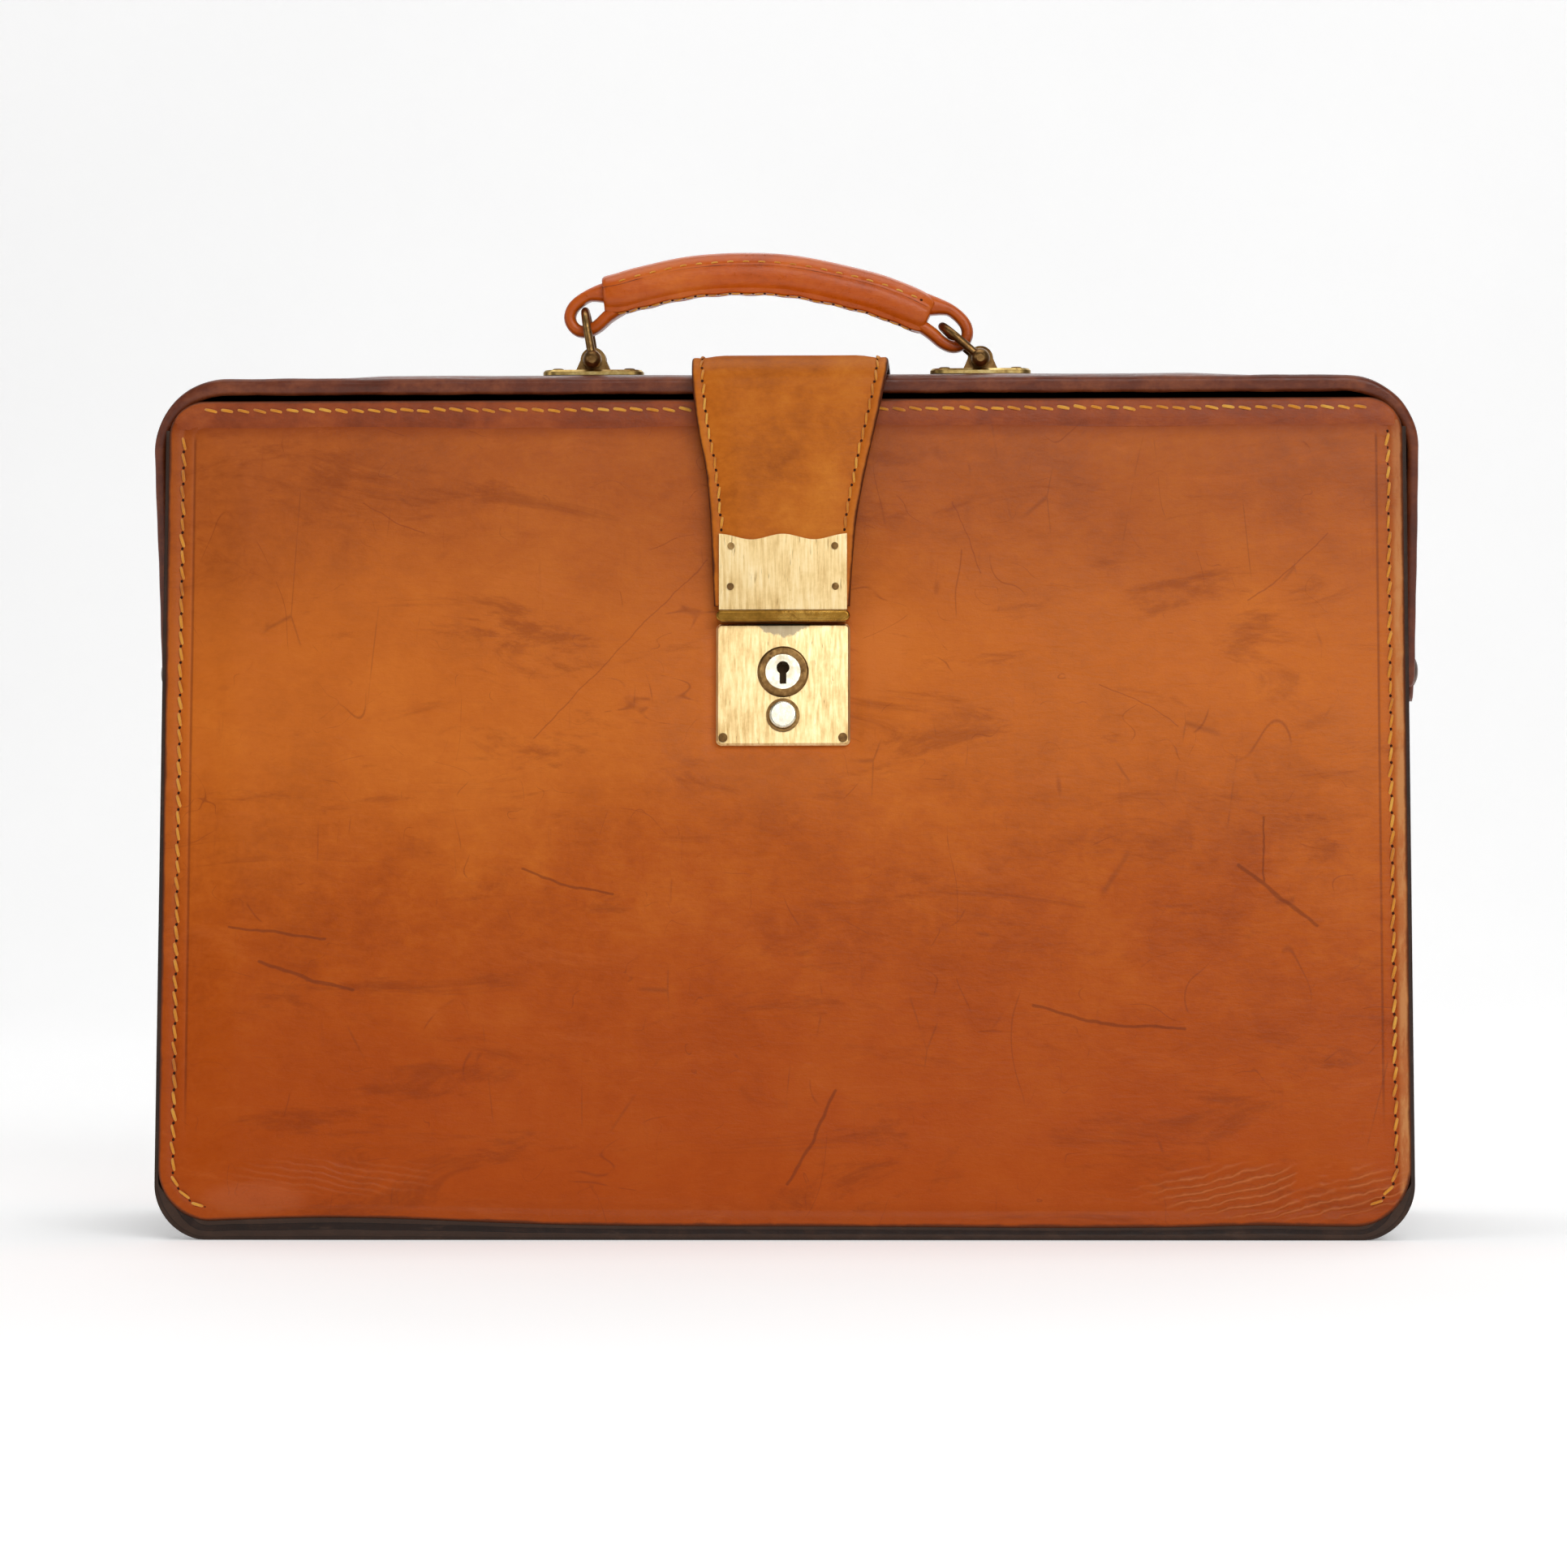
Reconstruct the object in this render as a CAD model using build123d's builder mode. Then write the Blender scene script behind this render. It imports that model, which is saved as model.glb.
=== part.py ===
from build123d import *
import math
import os

# Framed, top-opening leather brief bag: millimetres, +Z up, front faces -Y.
# Origin: on the ground, under the middle of the base.

os.makedirs("parts", exist_ok=True)

# ---------------------------------------------------------------- driving sizes
BASE_Y = 75.0          # half depth of the case at the ground
LEAN = 37.0            # how far the front and back lean in at the reference height
LEAN_Z = 298.0         # reference height of the lean
PANEL_HW = 220.0       # half width of the front panel
PANEL_T = 3.4          # hide with its board
PANEL_BOTTOM = 6.0     # bottom edge of the hide above the ground, along the slope
PANEL_TOP = 299.6      # top edge along the slope
CORNER_B = 20.0        # bottom corner radius
CORNER_T = 13.0        # top corner radius
FOLD_LOW = 232.6       # top of the standing part of the front hide, along the slope
FOLD_HIGH = 241.8      # bottom of the swinging part
WELT_HW = 221.4
WELT_T = 5.0
GUSSET_X = 213.5       # outer face of the gusset walls
GUSSET_T = 2.4
FRAME_HW = 226.5       # half width over the hood
FRAME_TOP = 305.3
FRAME_R = 27.0
PIVOT_Z = 200.3
STUD_D = 11.8
LEG_R = 11.6
HOOD_FRONT = -33.0
HOOD_BACK = 38.0
STRAP_T = 3.4
LOCK_W, LOCK_H, LOCK_T = 47.5, 43.5, 3.0
LOCK_S = 196.2         # centre of the lock plate along the slope
POST_X = 70.3
PLATE_L, PLATE_W, PLATE_T = 36.5, 15.0, 1.9
BALL_Z = 313.9
BALL_D = 6.8
BAR_D = 3.0
SHACKLE_L = 18.3
LEFT_LEAN = -9.5       # lean of the left shackle from upright, degrees (towards -X)
RIGHT_LEAN = -49.0

A = math.atan2(LEAN, LEAN_Z)
CA, SA = math.cos(A), math.sin(A)


def front_plane(offset=0.0):
    """Plane of the front hide's outer face: local x = +X, local y = up the slope, normal outwards."""
    n = (0.0, -CA, SA)
    return Plane(origin=(0, -BASE_Y + n[1] * offset, n[2] * offset), x_dir=(1, 0, 0), z_dir=n)


def back_plane(offset=0.0):
    n = (0.0, CA, SA)
    return Plane(origin=(0, BASE_Y + n[1] * offset, n[2] * offset), x_dir=(-1, 0, 0), z_dir=n)


def save(builder, name):
    builder.part.label = name
    export_step(builder.part, "parts/" + name + ".step")


# ---------------------------------------------------------------- hides
def panel_outline(hw, low, high, rb, rt):
    """Edges of a hide's outline: rounded bottom corners, rounded top corners (0 = square)."""
    with BuildLine() as outline:
        if rb > 0:
            Line((-hw + rb, low), (hw - rb, low))
            RadiusArc((hw - rb, low), (hw, low + rb), -rb)
        else:
            Line((-hw, low), (hw, low))
        Line((hw, low + rb), (hw, high - rt))
        if rt > 0:
            RadiusArc((hw, high - rt), (hw - rt, high), -rt)
            Line((hw - rt, high), (-hw + rt, high))
            RadiusArc((-hw + rt, high), (-hw, high - rt), -rt)
        else:
            Line((hw, high), (-hw, high))
        Line((-hw, high - rt), (-hw, low + rb))
        if rb > 0:
            RadiusArc((-hw, low + rb), (-hw + rb, low), -rb)
    return outline.edges()


# mouth for the staple and the bores of the lock, through the standing front hide
MOUTH_S = 222.6
low_edges = panel_outline(PANEL_HW, PANEL_BOTTOM, FOLD_LOW, CORNER_B, 0)
with BuildPart() as front_panel_lower:
    with BuildSketch(front_plane()):
        make_face(low_edges)
        with Locations((0, LOCK_S + 4.5)):
            Circle(9.6, mode=Mode.SUBTRACT)
        with Locations((0, LOCK_S - 11.0)):
            Circle(6.6, mode=Mode.SUBTRACT)
        with Locations((0, MOUTH_S)):
            Rectangle(22, 7, mode=Mode.SUBTRACT)
        with Locations((-21.2, LOCK_S - 19), (21.2, LOCK_S - 19)):
            Circle(1.2, mode=Mode.SUBTRACT)
        # relief at the two upper corners, where the swinging frame's arms come down
        with Locations((-PANEL_HW, FOLD_LOW), (PANEL_HW, FOLD_LOW)):
            Rectangle(7.2, 34, mode=Mode.SUBTRACT)
    extrude(amount=-PANEL_T)
save(front_panel_lower, "front_panel_lower")

up_edges = panel_outline(PANEL_HW, FOLD_HIGH, PANEL_TOP, 0, CORNER_T)
with BuildPart() as front_panel_upper:
    with BuildSketch(front_plane()):
        make_face(up_edges)
    extrude(amount=-PANEL_T)
save(front_panel_upper, "front_panel_upper")

with BuildPart() as top_band:
    with BuildSketch(front_plane()):
        with BuildLine():
            Line((-206, PANEL_TOP - 9.2), (206, PANEL_TOP - 9.2))
            Line((206, PANEL_TOP - 9.2), (206, PANEL_TOP - 0.6))
            Line((206, PANEL_TOP - 0.6), (-206, PANEL_TOP - 0.6))
            Line((-206, PANEL_TOP - 0.6), (-206, PANEL_TOP - 9.2))
        make_face()
    extrude(amount=0.7)
save(top_band, "top_band")

back_edges = panel_outline(PANEL_HW, PANEL_BOTTOM, PANEL_TOP - 1.4, CORNER_B, CORNER_T)
with BuildPart() as back_panel:
    with BuildSketch(back_plane()):
        make_face(back_edges)
    extrude(amount=-PANEL_T)
save(back_panel, "back_panel")


# ---------------------------------------------------------------- welts: stacked seam layers behind the hides
def welt(plane, high):
    with BuildPart() as w:
        with BuildSketch(plane):
            with BuildLine():
                Line((-WELT_HW + CORNER_B, 0), (WELT_HW - CORNER_B, 0))
                RadiusArc((WELT_HW - CORNER_B, 0), (WELT_HW, CORNER_B), -CORNER_B)
                Line((WELT_HW, CORNER_B), (WELT_HW, high))
                Line((WELT_HW, high), (-WELT_HW, high))
                Line((-WELT_HW, high), (-WELT_HW, CORNER_B))
                RadiusArc((-WELT_HW, CORNER_B), (-WELT_HW + CORNER_B, 0), -CORNER_B)
            make_face()
            with BuildLine():
                ri = 12.0
                ix, iy = GUSSET_X + 0.0, 8.0
                Line((-ix + ri, iy), (ix - ri, iy))
                RadiusArc((ix - ri, iy), (ix, iy + ri), -ri)
                Line((ix, iy + ri), (ix, high + 5))
                Line((ix, high + 5), (-ix, high + 5))
                Line((-ix, high + 5), (-ix, iy + ri))
                RadiusArc((-ix, iy + ri), (-ix + ri, iy), -ri)
            make_face(mode=Mode.SUBTRACT)
        extrude(amount=-WELT_T)
        split(bisect_by=Plane.XY, keep=Keep.TOP)
    return w


front_welt = welt(front_plane(-PANEL_T), 186.0)
save(front_welt, "front_welt")
rear_welt = welt(back_plane(-PANEL_T), 186.0)
save(rear_welt, "rear_welt")


# ---------------------------------------------------------------- gussets and bottom
def inner_y(z, back=0.0):
    """Inside face of the welts at height z (front negative)."""
    t = (PANEL_T + WELT_T + back) / CA
    return BASE_Y - t - z * SA / CA


def gusset(side):
    x0 = side * GUSSET_X
    with BuildPart() as g:
        with BuildSketch(Plane.YZ.offset(x0)):
            with BuildLine():
                y_low, y_top = inner_y(8.0), inner_y(186.0)
                Line((-y_low, 8.0), (y_low, 8.0))
                Line((y_low, 8.0), (y_top, 186.0))
                Line((y_top, 186.0), (32.0, 262.0))
                ThreePointArc((32.0, 262.0), (0.0, 291.0), (-32.0, 262.0))
                Line((-32.0, 262.0), (-y_top, 186.0))
                Line((-y_top, 186.0), (-y_low, 8.0))
            make_face()
            with Locations((0, PIVOT_Z)):
                Circle(2.3, mode=Mode.SUBTRACT)
        extrude(amount=-side * GUSSET_T)
    return g


left_gusset = gusset(-1)
save(left_gusset, "left_gusset")
right_gusset = gusset(1)
save(right_gusset, "right_gusset")

with BuildPart() as bottom_panel:
    with BuildSketch(Plane.XY):
        Rectangle(2 * (WELT_HW - CORNER_B), 2 * (inner_y(2.4) - 0.3))
    extrude(amount=2.4)
    with BuildSketch(Plane.XY.offset(2.4)):
        Rectangle(2 * (GUSSET_X - GUSSET_T - 0.1), 2 * (inner_y(8.0) - 0.4))
    extrude(amount=5.5)
    with BuildSketch(Plane.XY.offset(3.6)):
        Rectangle(2 * (GUSSET_X - 8), 2 * (inner_y(8.0) - 6))
    extrude(amount=10, mode=Mode.SUBTRACT)
save(bottom_panel, "bottom_panel")

with BuildPart() as base_board:
    with BuildSketch(Plane.XY.offset(3.6)):
        RectangleRounded(2 * (GUSSET_X - 8.4), 2 * (inner_y(8.0) - 6.4), 4)
    extrude(amount=3.0)
save(base_board, "base_board")

# linings lie on the inner faces of the hides
with BuildPart() as front_lining:
    with BuildSketch(front_plane(-PANEL_T)):
        with Locations((0, 88.0)):
            Rectangle(2 * (GUSSET_X - GUSSET_T - 4.0), 150.0)
    extrude(amount=-0.9)
save(front_lining, "front_lining")

with BuildPart() as back_lining:
    with BuildSketch(back_plane(-PANEL_T)):
        with Locations((0, 88.0)):
            Rectangle(2 * (GUSSET_X - GUSSET_T - 4.0), 150.0)
    extrude(amount=-0.9)
save(back_lining, "back_lining")


# ---------------------------------------------------------------- hood: standing frame, its cover and its bead
def hoop_band(hw, top, r, t, low):
    """Edges of an inverted U strip of thickness t, legs down to 'low' (in XZ)."""
    with BuildLine() as outline:
        Line((-hw, low), (-hw, top - r))
        RadiusArc((-hw, top - r), (-hw + r, top), r)
        Line((-hw + r, top), (hw - r, top))
        RadiusArc((hw - r, top), (hw, top - r), r)
        Line((hw, top - r), (hw, low))
        Line((hw, low), (hw - t, low))
        Line((hw - t, low), (hw - t, top - r))
        RadiusArc((hw - t, top - r), (hw - r, top - t), -(r - t))
        Line((hw - r, top - t), (-hw + r, top - t))
        RadiusArc((-hw + r, top - t), (-hw + t, top - r), -(r - t))
        Line((-hw + t, top - r), (-hw + t, low))
        Line((-hw + t, low), (-hw, low))
    return outline.edges()


def side_shape(front, back, leg, top=330.0):
    """Edges of the hood's side view: broad at the top, tapering to the pivot, round below it (in YZ)."""
    with BuildLine() as outline:
        Line((front, top), (back, top))
        Line((back, top), (back, 296.0))
        Line((back, 296.0), (leg, PIVOT_Z + 2))
        Line((leg, PIVOT_Z + 2), (leg, PIVOT_Z))
        RadiusArc((leg, PIVOT_Z), (-leg, PIVOT_Z), leg)
        Line((-leg, PIVOT_Z), (-leg, PIVOT_Z + 2))
        Line((-leg, PIVOT_Z + 2), (front, 296.0))
        Line((front, 296.0), (front, top))
    return outline.edges()


# the bead follows the hood's front edge, which slopes back from the top to the pivot
EDGE_A = math.atan2((-LEG_R) - HOOD_FRONT, 296.0 - PIVOT_Z - 2)
EDGE_C, EDGE_S = math.cos(EDGE_A), math.sin(EDGE_A)


def edge_plane(offset=0.0):
    """Plane through the hood's front edge, normal forwards; local y up the edge, zero at z = 296."""
    n = (0.0, -EDGE_C, -EDGE_S)
    o = (0, HOOD_FRONT + n[1] * offset, 296.0 + n[2] * offset)
    return Plane(origin=o, x_dir=(1, 0, 0), z_dir=n)


HOOD_T = 2.2
CROWN = 308.3           # top of the hood in the middle
cover_edges = hoop_band(FRAME_HW - 0.3, FRAME_TOP - 0.3, FRAME_R, HOOD_T, 170)
cover_side = side_shape(HOOD_FRONT, HOOD_BACK, LEG_R - 0.3)
with BuildPart() as rear_frame_cover:
    with BuildSketch(Plane.XZ):
        make_face(cover_edges)
    extrude(amount=60, both=True)
    with BuildSketch(Plane.YZ):
        make_face(cover_side)
    extrude(amount=260, both=True, mode=Mode.INTERSECT)
    # the top is crowned along the bag's depth and fades out towards the corners
    with BuildSketch(Plane.YZ):
        with BuildLine():
            Polyline((HOOD_FRONT, FRAME_TOP - 1.0), (-9, CROWN), (14, CROWN), (HOOD_BACK, FRAME_TOP - 0.3),
                     (HOOD_BACK, FRAME_TOP - 1.6), (HOOD_FRONT, FRAME_TOP - 1.6), close=True)
        make_face()
    extrude(amount=198, both=True)
    with BuildSketch(Plane.XZ):
        with BuildLine():
            Polyline((-232, 150), (-232, FRAME_TOP - 0.3), (-198, FRAME_TOP - 0.3), (-160, CROWN + 0.2),
                     (160, CROWN + 0.2), (198, FRAME_TOP - 0.3), (232, FRAME_TOP - 0.3), (232, 150), close=True)
        make_face()
    extrude(amount=80, both=True, mode=Mode.INTERSECT)
    # room for the bead along the front edge
    with BuildSketch(edge_plane(-2.5)):
        with Locations((0, (-95.2 + 40) / 2)):
            Rectangle(600, 135.2)
    extrude(amount=30, mode=Mode.SUBTRACT)
    with BuildSketch(Plane.XY.offset(CROWN + 1)):
        with Locations((-POST_X - 13, 0), (-POST_X + 13, 0), (POST_X - 13, 0), (POST_X + 13, 0)):
            Circle(1.25)
    extrude(amount=-4.2, mode=Mode.SUBTRACT)
    with BuildSketch(Plane.YZ):
        with Locations((0, PIVOT_Z)):
            Circle(2.3)
    extrude(amount=260, both=True, mode=Mode.SUBTRACT)
save(rear_frame_cover, "rear_frame_cover")

steel_edges = hoop_band(FRAME_HW - 0.35 - HOOD_T, FRAME_TOP - 0.35 - HOOD_T, FRAME_R - HOOD_T, 1.5, 170)
steel_side = side_shape(HOOD_FRONT + 5.0, HOOD_BACK - 3.0, LEG_R - 4.4)
with BuildPart() as rear_frame:
    with BuildSketch(Plane.XZ):
        make_face(steel_edges)
    extrude(amount=60, both=True)
    with BuildSketch(Plane.YZ):
        make_face(steel_side)
    extrude(amount=260, both=True, mode=Mode.INTERSECT)
    with BuildSketch(Plane.YZ):
        with Locations((0, PIVOT_Z)):
            Circle(2.3)
    extrude(amount=260, both=True, mode=Mode.SUBTRACT)
save(rear_frame, "rear_frame")

bead_edges = hoop_band(FRAME_HW, (FRAME_TOP - 296.0) / EDGE_C, FRAME_R, 4.6, -100.0)
with BuildPart() as rear_frame_bead:
    with BuildSketch(edge_plane(-2.4)):
        make_face(bead_edges)
    extrude(amount=4.8)
    with BuildSketch(Plane.XY.offset(100)):
        Rectangle(600, 200)
    extrude(amount=PIVOT_Z + 4.0 - 100, mode=Mode.SUBTRACT)
    outer = rear_frame_bead.faces().sort_by(Axis.Y)[0].outer_wire().edges()
    fillet(outer.filter_by(lambda e: e.center().Z > PIVOT_Z + 5), 1.7)
save(rear_frame_bead, "rear_frame_bead")

# ---------------------------------------------------------------- front frame: nests under the hood, swings on the studs
TILT = math.atan2(26.0, 94.0)
TC, TS = math.cos(TILT), math.sin(TILT)


def tilt_plane(offset=0.0):
    """Plane through the pivot axis leaning forwards; local y runs up from the pivot."""
    n = (0.0, -TC, -TS)
    return Plane(origin=(0, n[1] * offset, PIVOT_Z + n[2] * offset), x_dir=(1, 0, 0), z_dir=n)


FF_HW = 219.6
FF_TOP = 97.2
hoop_edges = hoop_band(FF_HW, FF_TOP, 18.0, 2.4, 0.0)
with BuildPart() as front_frame:
    with BuildSketch(tilt_plane(-7.5)):
        make_face(hoop_edges)
    extrude(amount=15.0)
    with BuildSketch(Plane.YZ.offset(FF_HW - 2.4)):
        with Locations((0, PIVOT_Z)):
            Circle(8.0)
    extrude(amount=2.4)
    with BuildSketch(Plane.YZ.offset(-FF_HW)):
        with Locations((0, PIVOT_Z)):
            Circle(8.0)
    extrude(amount=2.4)
    with BuildSketch(Plane.YZ):
        with Locations((0, PIVOT_Z)):
            Circle(2.05)
    extrude(amount=260, both=True, mode=Mode.SUBTRACT)
save(front_frame, "front_frame")

with BuildPart() as front_frame_cover:
    with BuildSketch(tilt_plane(7.55)):
        with BuildLine():
            Line((-196, FF_TOP - 0.2), (196, FF_TOP - 0.2))
            Line((196, FF_TOP - 0.2), (196, FF_TOP - 2.2))
            Line((196, FF_TOP - 2.2), (-196, FF_TOP - 2.2))
            Line((-196, FF_TOP - 2.2), (-196, FF_TOP - 0.2))
        make_face()
    extrude(amount=1.3)
save(front_frame_cover, "front_frame_cover")


# ---------------------------------------------------------------- pivot studs
def stud(side):
    with BuildPart() as s:
        with BuildSketch(Plane.XZ):
            with BuildLine():
                x0 = FRAME_HW + 0.05
                Line((x0, 0), (x0 + 1.9, 0))
                ThreePointArc((x0 + 1.9, 0), (x0 + 1.35, STUD_D / 2 * 0.62), (x0, STUD_D / 2))
                Line((x0, STUD_D / 2), (x0, 2.0))
                Line((x0, 2.0), (209.0, 2.0))
                Line((209.0, 2.0), (209.0, 0))
                Line((209.0, 0), (x0, 0))
            make_face()
        revolve(axis=Axis.X)
    moved = Pos(0, 0, PIVOT_Z) * (s.part if side > 0 else Rot(0, 0, 180) * s.part)
    with BuildPart() as out:
        add(moved)
    return out


left_stud = stud(-1)
save(left_stud, "left_stud")
right_stud = stud(1)
save(right_stud, "right_stud")

with BuildPart() as stud_washers:
    for x in (-211.0, 209.6):
        with BuildSketch(Plane.YZ.offset(x)):
            with Locations((0, PIVOT_Z)):
                Circle(5.5)
                Circle(2.04, mode=Mode.SUBTRACT)
        extrude(amount=1.4)
save(stud_washers, "stud_washers")

# spacer collars keep the swinging arms off the gusset and the hood
with BuildPart() as pivot_spacers:
    for x in (-216.9, 213.7):
        with BuildSketch(Plane.YZ.offset(x)):
            with Locations((0, PIVOT_Z)):
                Circle(4.6)
                Circle(2.04, mode=Mode.SUBTRACT)
        extrude(amount=3.2)
    for x in (-222.2, 219.9):
        with BuildSketch(Plane.YZ.offset(x)):
            with Locations((0, PIVOT_Z)):
                Circle(4.6)
                Circle(2.04, mode=Mode.SUBTRACT)
        extrude(amount=2.3)
save(pivot_spacers, "pivot_spacers")

# ---------------------------------------------------------------- handle fittings
PLATE_Z = CROWN + 0.05


def handle_plate(side):
    with BuildPart() as p:
        with BuildSketch(Plane.XY.offset(PLATE_Z)):
            with Locations((side * POST_X, 0)):
                RectangleRounded(PLATE_L, PLATE_W, 5.0)
                with Locations((-13, 0), (13, 0)):
                    Circle(1.25, mode=Mode.SUBTRACT)
        extrude(amount=PLATE_T)
        chamfer(p.faces().sort_by(Axis.Z)[-1].outer_wire().edges(), 0.7)
    return p


left_handle_plate = handle_plate(-1)
save(left_handle_plate, "left_handle_plate")
right_handle_plate = handle_plate(1)
save(right_handle_plate, "right_handle_plate")

with BuildPart() as handle_plate_rivets:
    for side in (-1, 1):
        for dx in (-13, 13):
            with Locations((side * POST_X + dx, 0, PLATE_Z - 2.0)):
                Cylinder(1.2, PLATE_T + 2.1, align=(Align.CENTER, Align.CENTER, Align.MIN))
            with Locations((side * POST_X + dx, 0, PLATE_Z + PLATE_T + 0.02)):
                Cylinder(2.1, 0.8, align=(Align.CENTER, Align.CENTER, Align.MIN))
    tops = handle_plate_rivets.faces().filter_by(Axis.Z).group_by(Axis.Z)[-1]
    fillet(tops.edges(), 0.6)
save(handle_plate_rivets, "handle_plate_rivets")

KNUCKLE_W = 8.4        # along the pin
PIN_R = 1.5


def knuckle(side):
    """Domed post with a cross bore for the pin."""
    with BuildPart() as kn:
        with BuildSketch(Plane.XZ.offset(-KNUCKLE_W / 2)):
            with BuildLine():
                cx = side * POST_X
                Line((cx - 6.2, PLATE_Z + PLATE_T + 0.02), (cx + 6.2, PLATE_Z + PLATE_T + 0.02))
                Line((cx + 6.2, PLATE_Z + PLATE_T + 0.02), (cx + 4.6, BALL_Z))
                ThreePointArc((cx + 4.6, BALL_Z), (cx, BALL_Z + 4.6), (cx - 4.6, BALL_Z))
                Line((cx - 4.6, BALL_Z), (cx - 6.2, PLATE_Z + PLATE_T + 0.02))
            make_face()
            with Locations((side * POST_X, BALL_Z)):
                Circle(PIN_R + 0.06, mode=Mode.SUBTRACT)
        extrude(amount=KNUCKLE_W)
    return kn


left_knuckle = knuckle(-1)
save(left_knuckle, "left_knuckle")
right_knuckle = knuckle(1)
save(right_knuckle, "right_knuckle")

LEG_Y = KNUCKLE_W / 2 + 0.5 + BALL_D / 2      # ball centres along the pin


def shackle(side, lean_deg):
    """Stirrup: ball, leg, half-round top, leg, ball. Leans by lean_deg from upright in XZ."""
    lean = math.radians(lean_deg)
    up = Vector(math.sin(lean), 0, math.cos(lean))
    c = Vector(side * POST_X, 0, BALL_Z)
    pl = Plane(origin=c, x_dir=(0, 1, 0), z_dir=Vector(0, 1, 0).cross(up))
    with BuildPart() as sh:
        with BuildLine(pl):
            straight = SHACKLE_L - LEG_Y
            l1 = Line((-LEG_Y, 0), (-LEG_Y, straight))
            l2 = RadiusArc((-LEG_Y, straight), (LEG_Y, straight), LEG_Y)
            l3 = Line((LEG_Y, straight), (LEG_Y, 0))
        with BuildSketch(Plane(origin=l1 @ 0, z_dir=l1 % 0)):
            Circle(BAR_D / 2)
        sweep()
        with Locations(c + Vector(0, LEG_Y, 0), c - Vector(0, LEG_Y, 0)):
            Sphere(BALL_D / 2)
        with BuildSketch(Plane.XZ.offset(-30)):
            with Locations((side * POST_X, BALL_Z)):
                Circle(PIN_R)
        extrude(amount=60, mode=Mode.SUBTRACT)
    return sh


left_shackle = shackle(-1, LEFT_LEAN)
save(left_shackle, "left_shackle")
right_shackle = shackle(1, RIGHT_LEAN)
save(right_shackle, "right_shackle")


def shackle_pin(side):
    with BuildPart() as p:
        with BuildSketch(Plane.XZ.offset(-(LEG_Y + 2.6))):
            with Locations((side * POST_X, BALL_Z)):
                Circle(PIN_R)
        extrude(amount=2 * (LEG_Y + 2.6))
    return p


left_shackle_pin = shackle_pin(-1)
save(left_shackle_pin, "left_shackle_pin")
right_shackle_pin = shackle_pin(1)
save(right_shackle_pin, "right_shackle_pin")


# eyes of the handle hang on the shackle tops
def tip(side, lean_deg):
    lean = math.radians(lean_deg)
    return (side * POST_X + math.sin(lean) * SHACKLE_L, BALL_Z + math.cos(lean) * SHACKLE_L)


LT = tip(-1, LEFT_LEAN)
RT = tip(1, RIGHT_LEAN)
EYE_HY = 5.0           # half width of the loops along the shackle bar


def loop(cx, cz, angle):
    """Leather eye round the shackle's top bar: a flattened ring (in XZ)."""
    with BuildPart() as lp:
        with BuildSketch(Plane.XZ.offset(-EYE_HY)):
            with Locations(Location((cx, cz, 0), (0, 0, angle))):
                SlotOverall(18.9, 16.2)
                SlotOverall(10.5, 8.0, mode=Mode.SUBTRACT)
        extrude(amount=2 * EYE_HY)
    return lp


L_ANG, R_ANG = 30.0, -30.0
LC = (LT[0] + 0.3, LT[1] - 1.5)
RC = (RT[0] + 2.0, RT[1] - 1.2)
left_handle_loop = loop(LC[0], LC[1], L_ANG)
save(left_handle_loop, "left_handle_loop")
right_handle_loop = loop(RC[0], RC[1], R_ANG)
save(right_handle_loop, "right_handle_loop")

# the grip is an arch between the loops
G0 = (LC[0] + 10.6, LC[1] + 5.6)
G4 = (RC[0] - 10.4, RC[1] + 6.0)
GRIP_PTS = [G0, (-52.0, 339.6), (-34.4, 343.3), (-15.5, 344.5), (3.4, 343.4), (28.4, 338.0), G4]


with BuildPart() as handle_grip:
    with BuildLine(Plane.XZ) as gl:
        Spline(*GRIP_PTS)
    path = gl.line
    with BuildSketch(Plane(origin=path @ 0, x_dir=(0, 1, 0), z_dir=path % 0)):
        Ellipse(8.6, 7.2)
        Circle(3.35, mode=Mode.SUBTRACT)
    sweep(path=path)
save(handle_grip, "handle_grip")

with BuildPart() as handle_core:
    with BuildLine(Plane.XZ) as cl:
        Spline(*GRIP_PTS)
    cpath = cl.line
    with BuildSketch(Plane(origin=cpath @ 0, x_dir=(0, 1, 0), z_dir=cpath % 0)):
        Circle(3.3)
    sweep(path=cpath)
save(handle_core, "handle_core")

# ---------------------------------------------------------------- strap
HINGE_Y, HINGE_Z = -30.0, 312.0
STRAP_BOTTOM_Z = 221.3
SY_TOP, SY_BOT = -44.4, -49.4     # inner face of the hanging part
HW_TOP, HW_BOT = 35.0, 23.4


def strap_half_width(z):
    t = min(1.0, (309.0 - z) / (309.0 - STRAP_BOTTOM_Z))
    return HW_BOT + 1.2 + (HW_TOP - HW_BOT - 1.2) * (1 - t) ** 1.55


SL = math.atan2(SY_TOP - SY_BOT, 300.0 - STRAP_BOTTOM_Z)
SC, SS = math.cos(SL), math.sin(SL)


def strap_plane(offset=0.0):
    """Outer face of the strap: origin at its bottom edge, local y up the strap, normal outwards."""
    n = (0.0, -SC, SS)
    return Plane(
        origin=(0, SY_BOT - STRAP_T + n[1] * offset, STRAP_BOTTOM_Z + n[2] * offset),
        x_dir=(1, 0, 0),
        z_dir=n,
    )


HASP_W, HASP_H = 45.3, 27.2
RIVETS = [(-18.4, 22.8), (18.4, 22.8), (-18.6, 8.4), (18.6, 8.4)]

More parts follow.
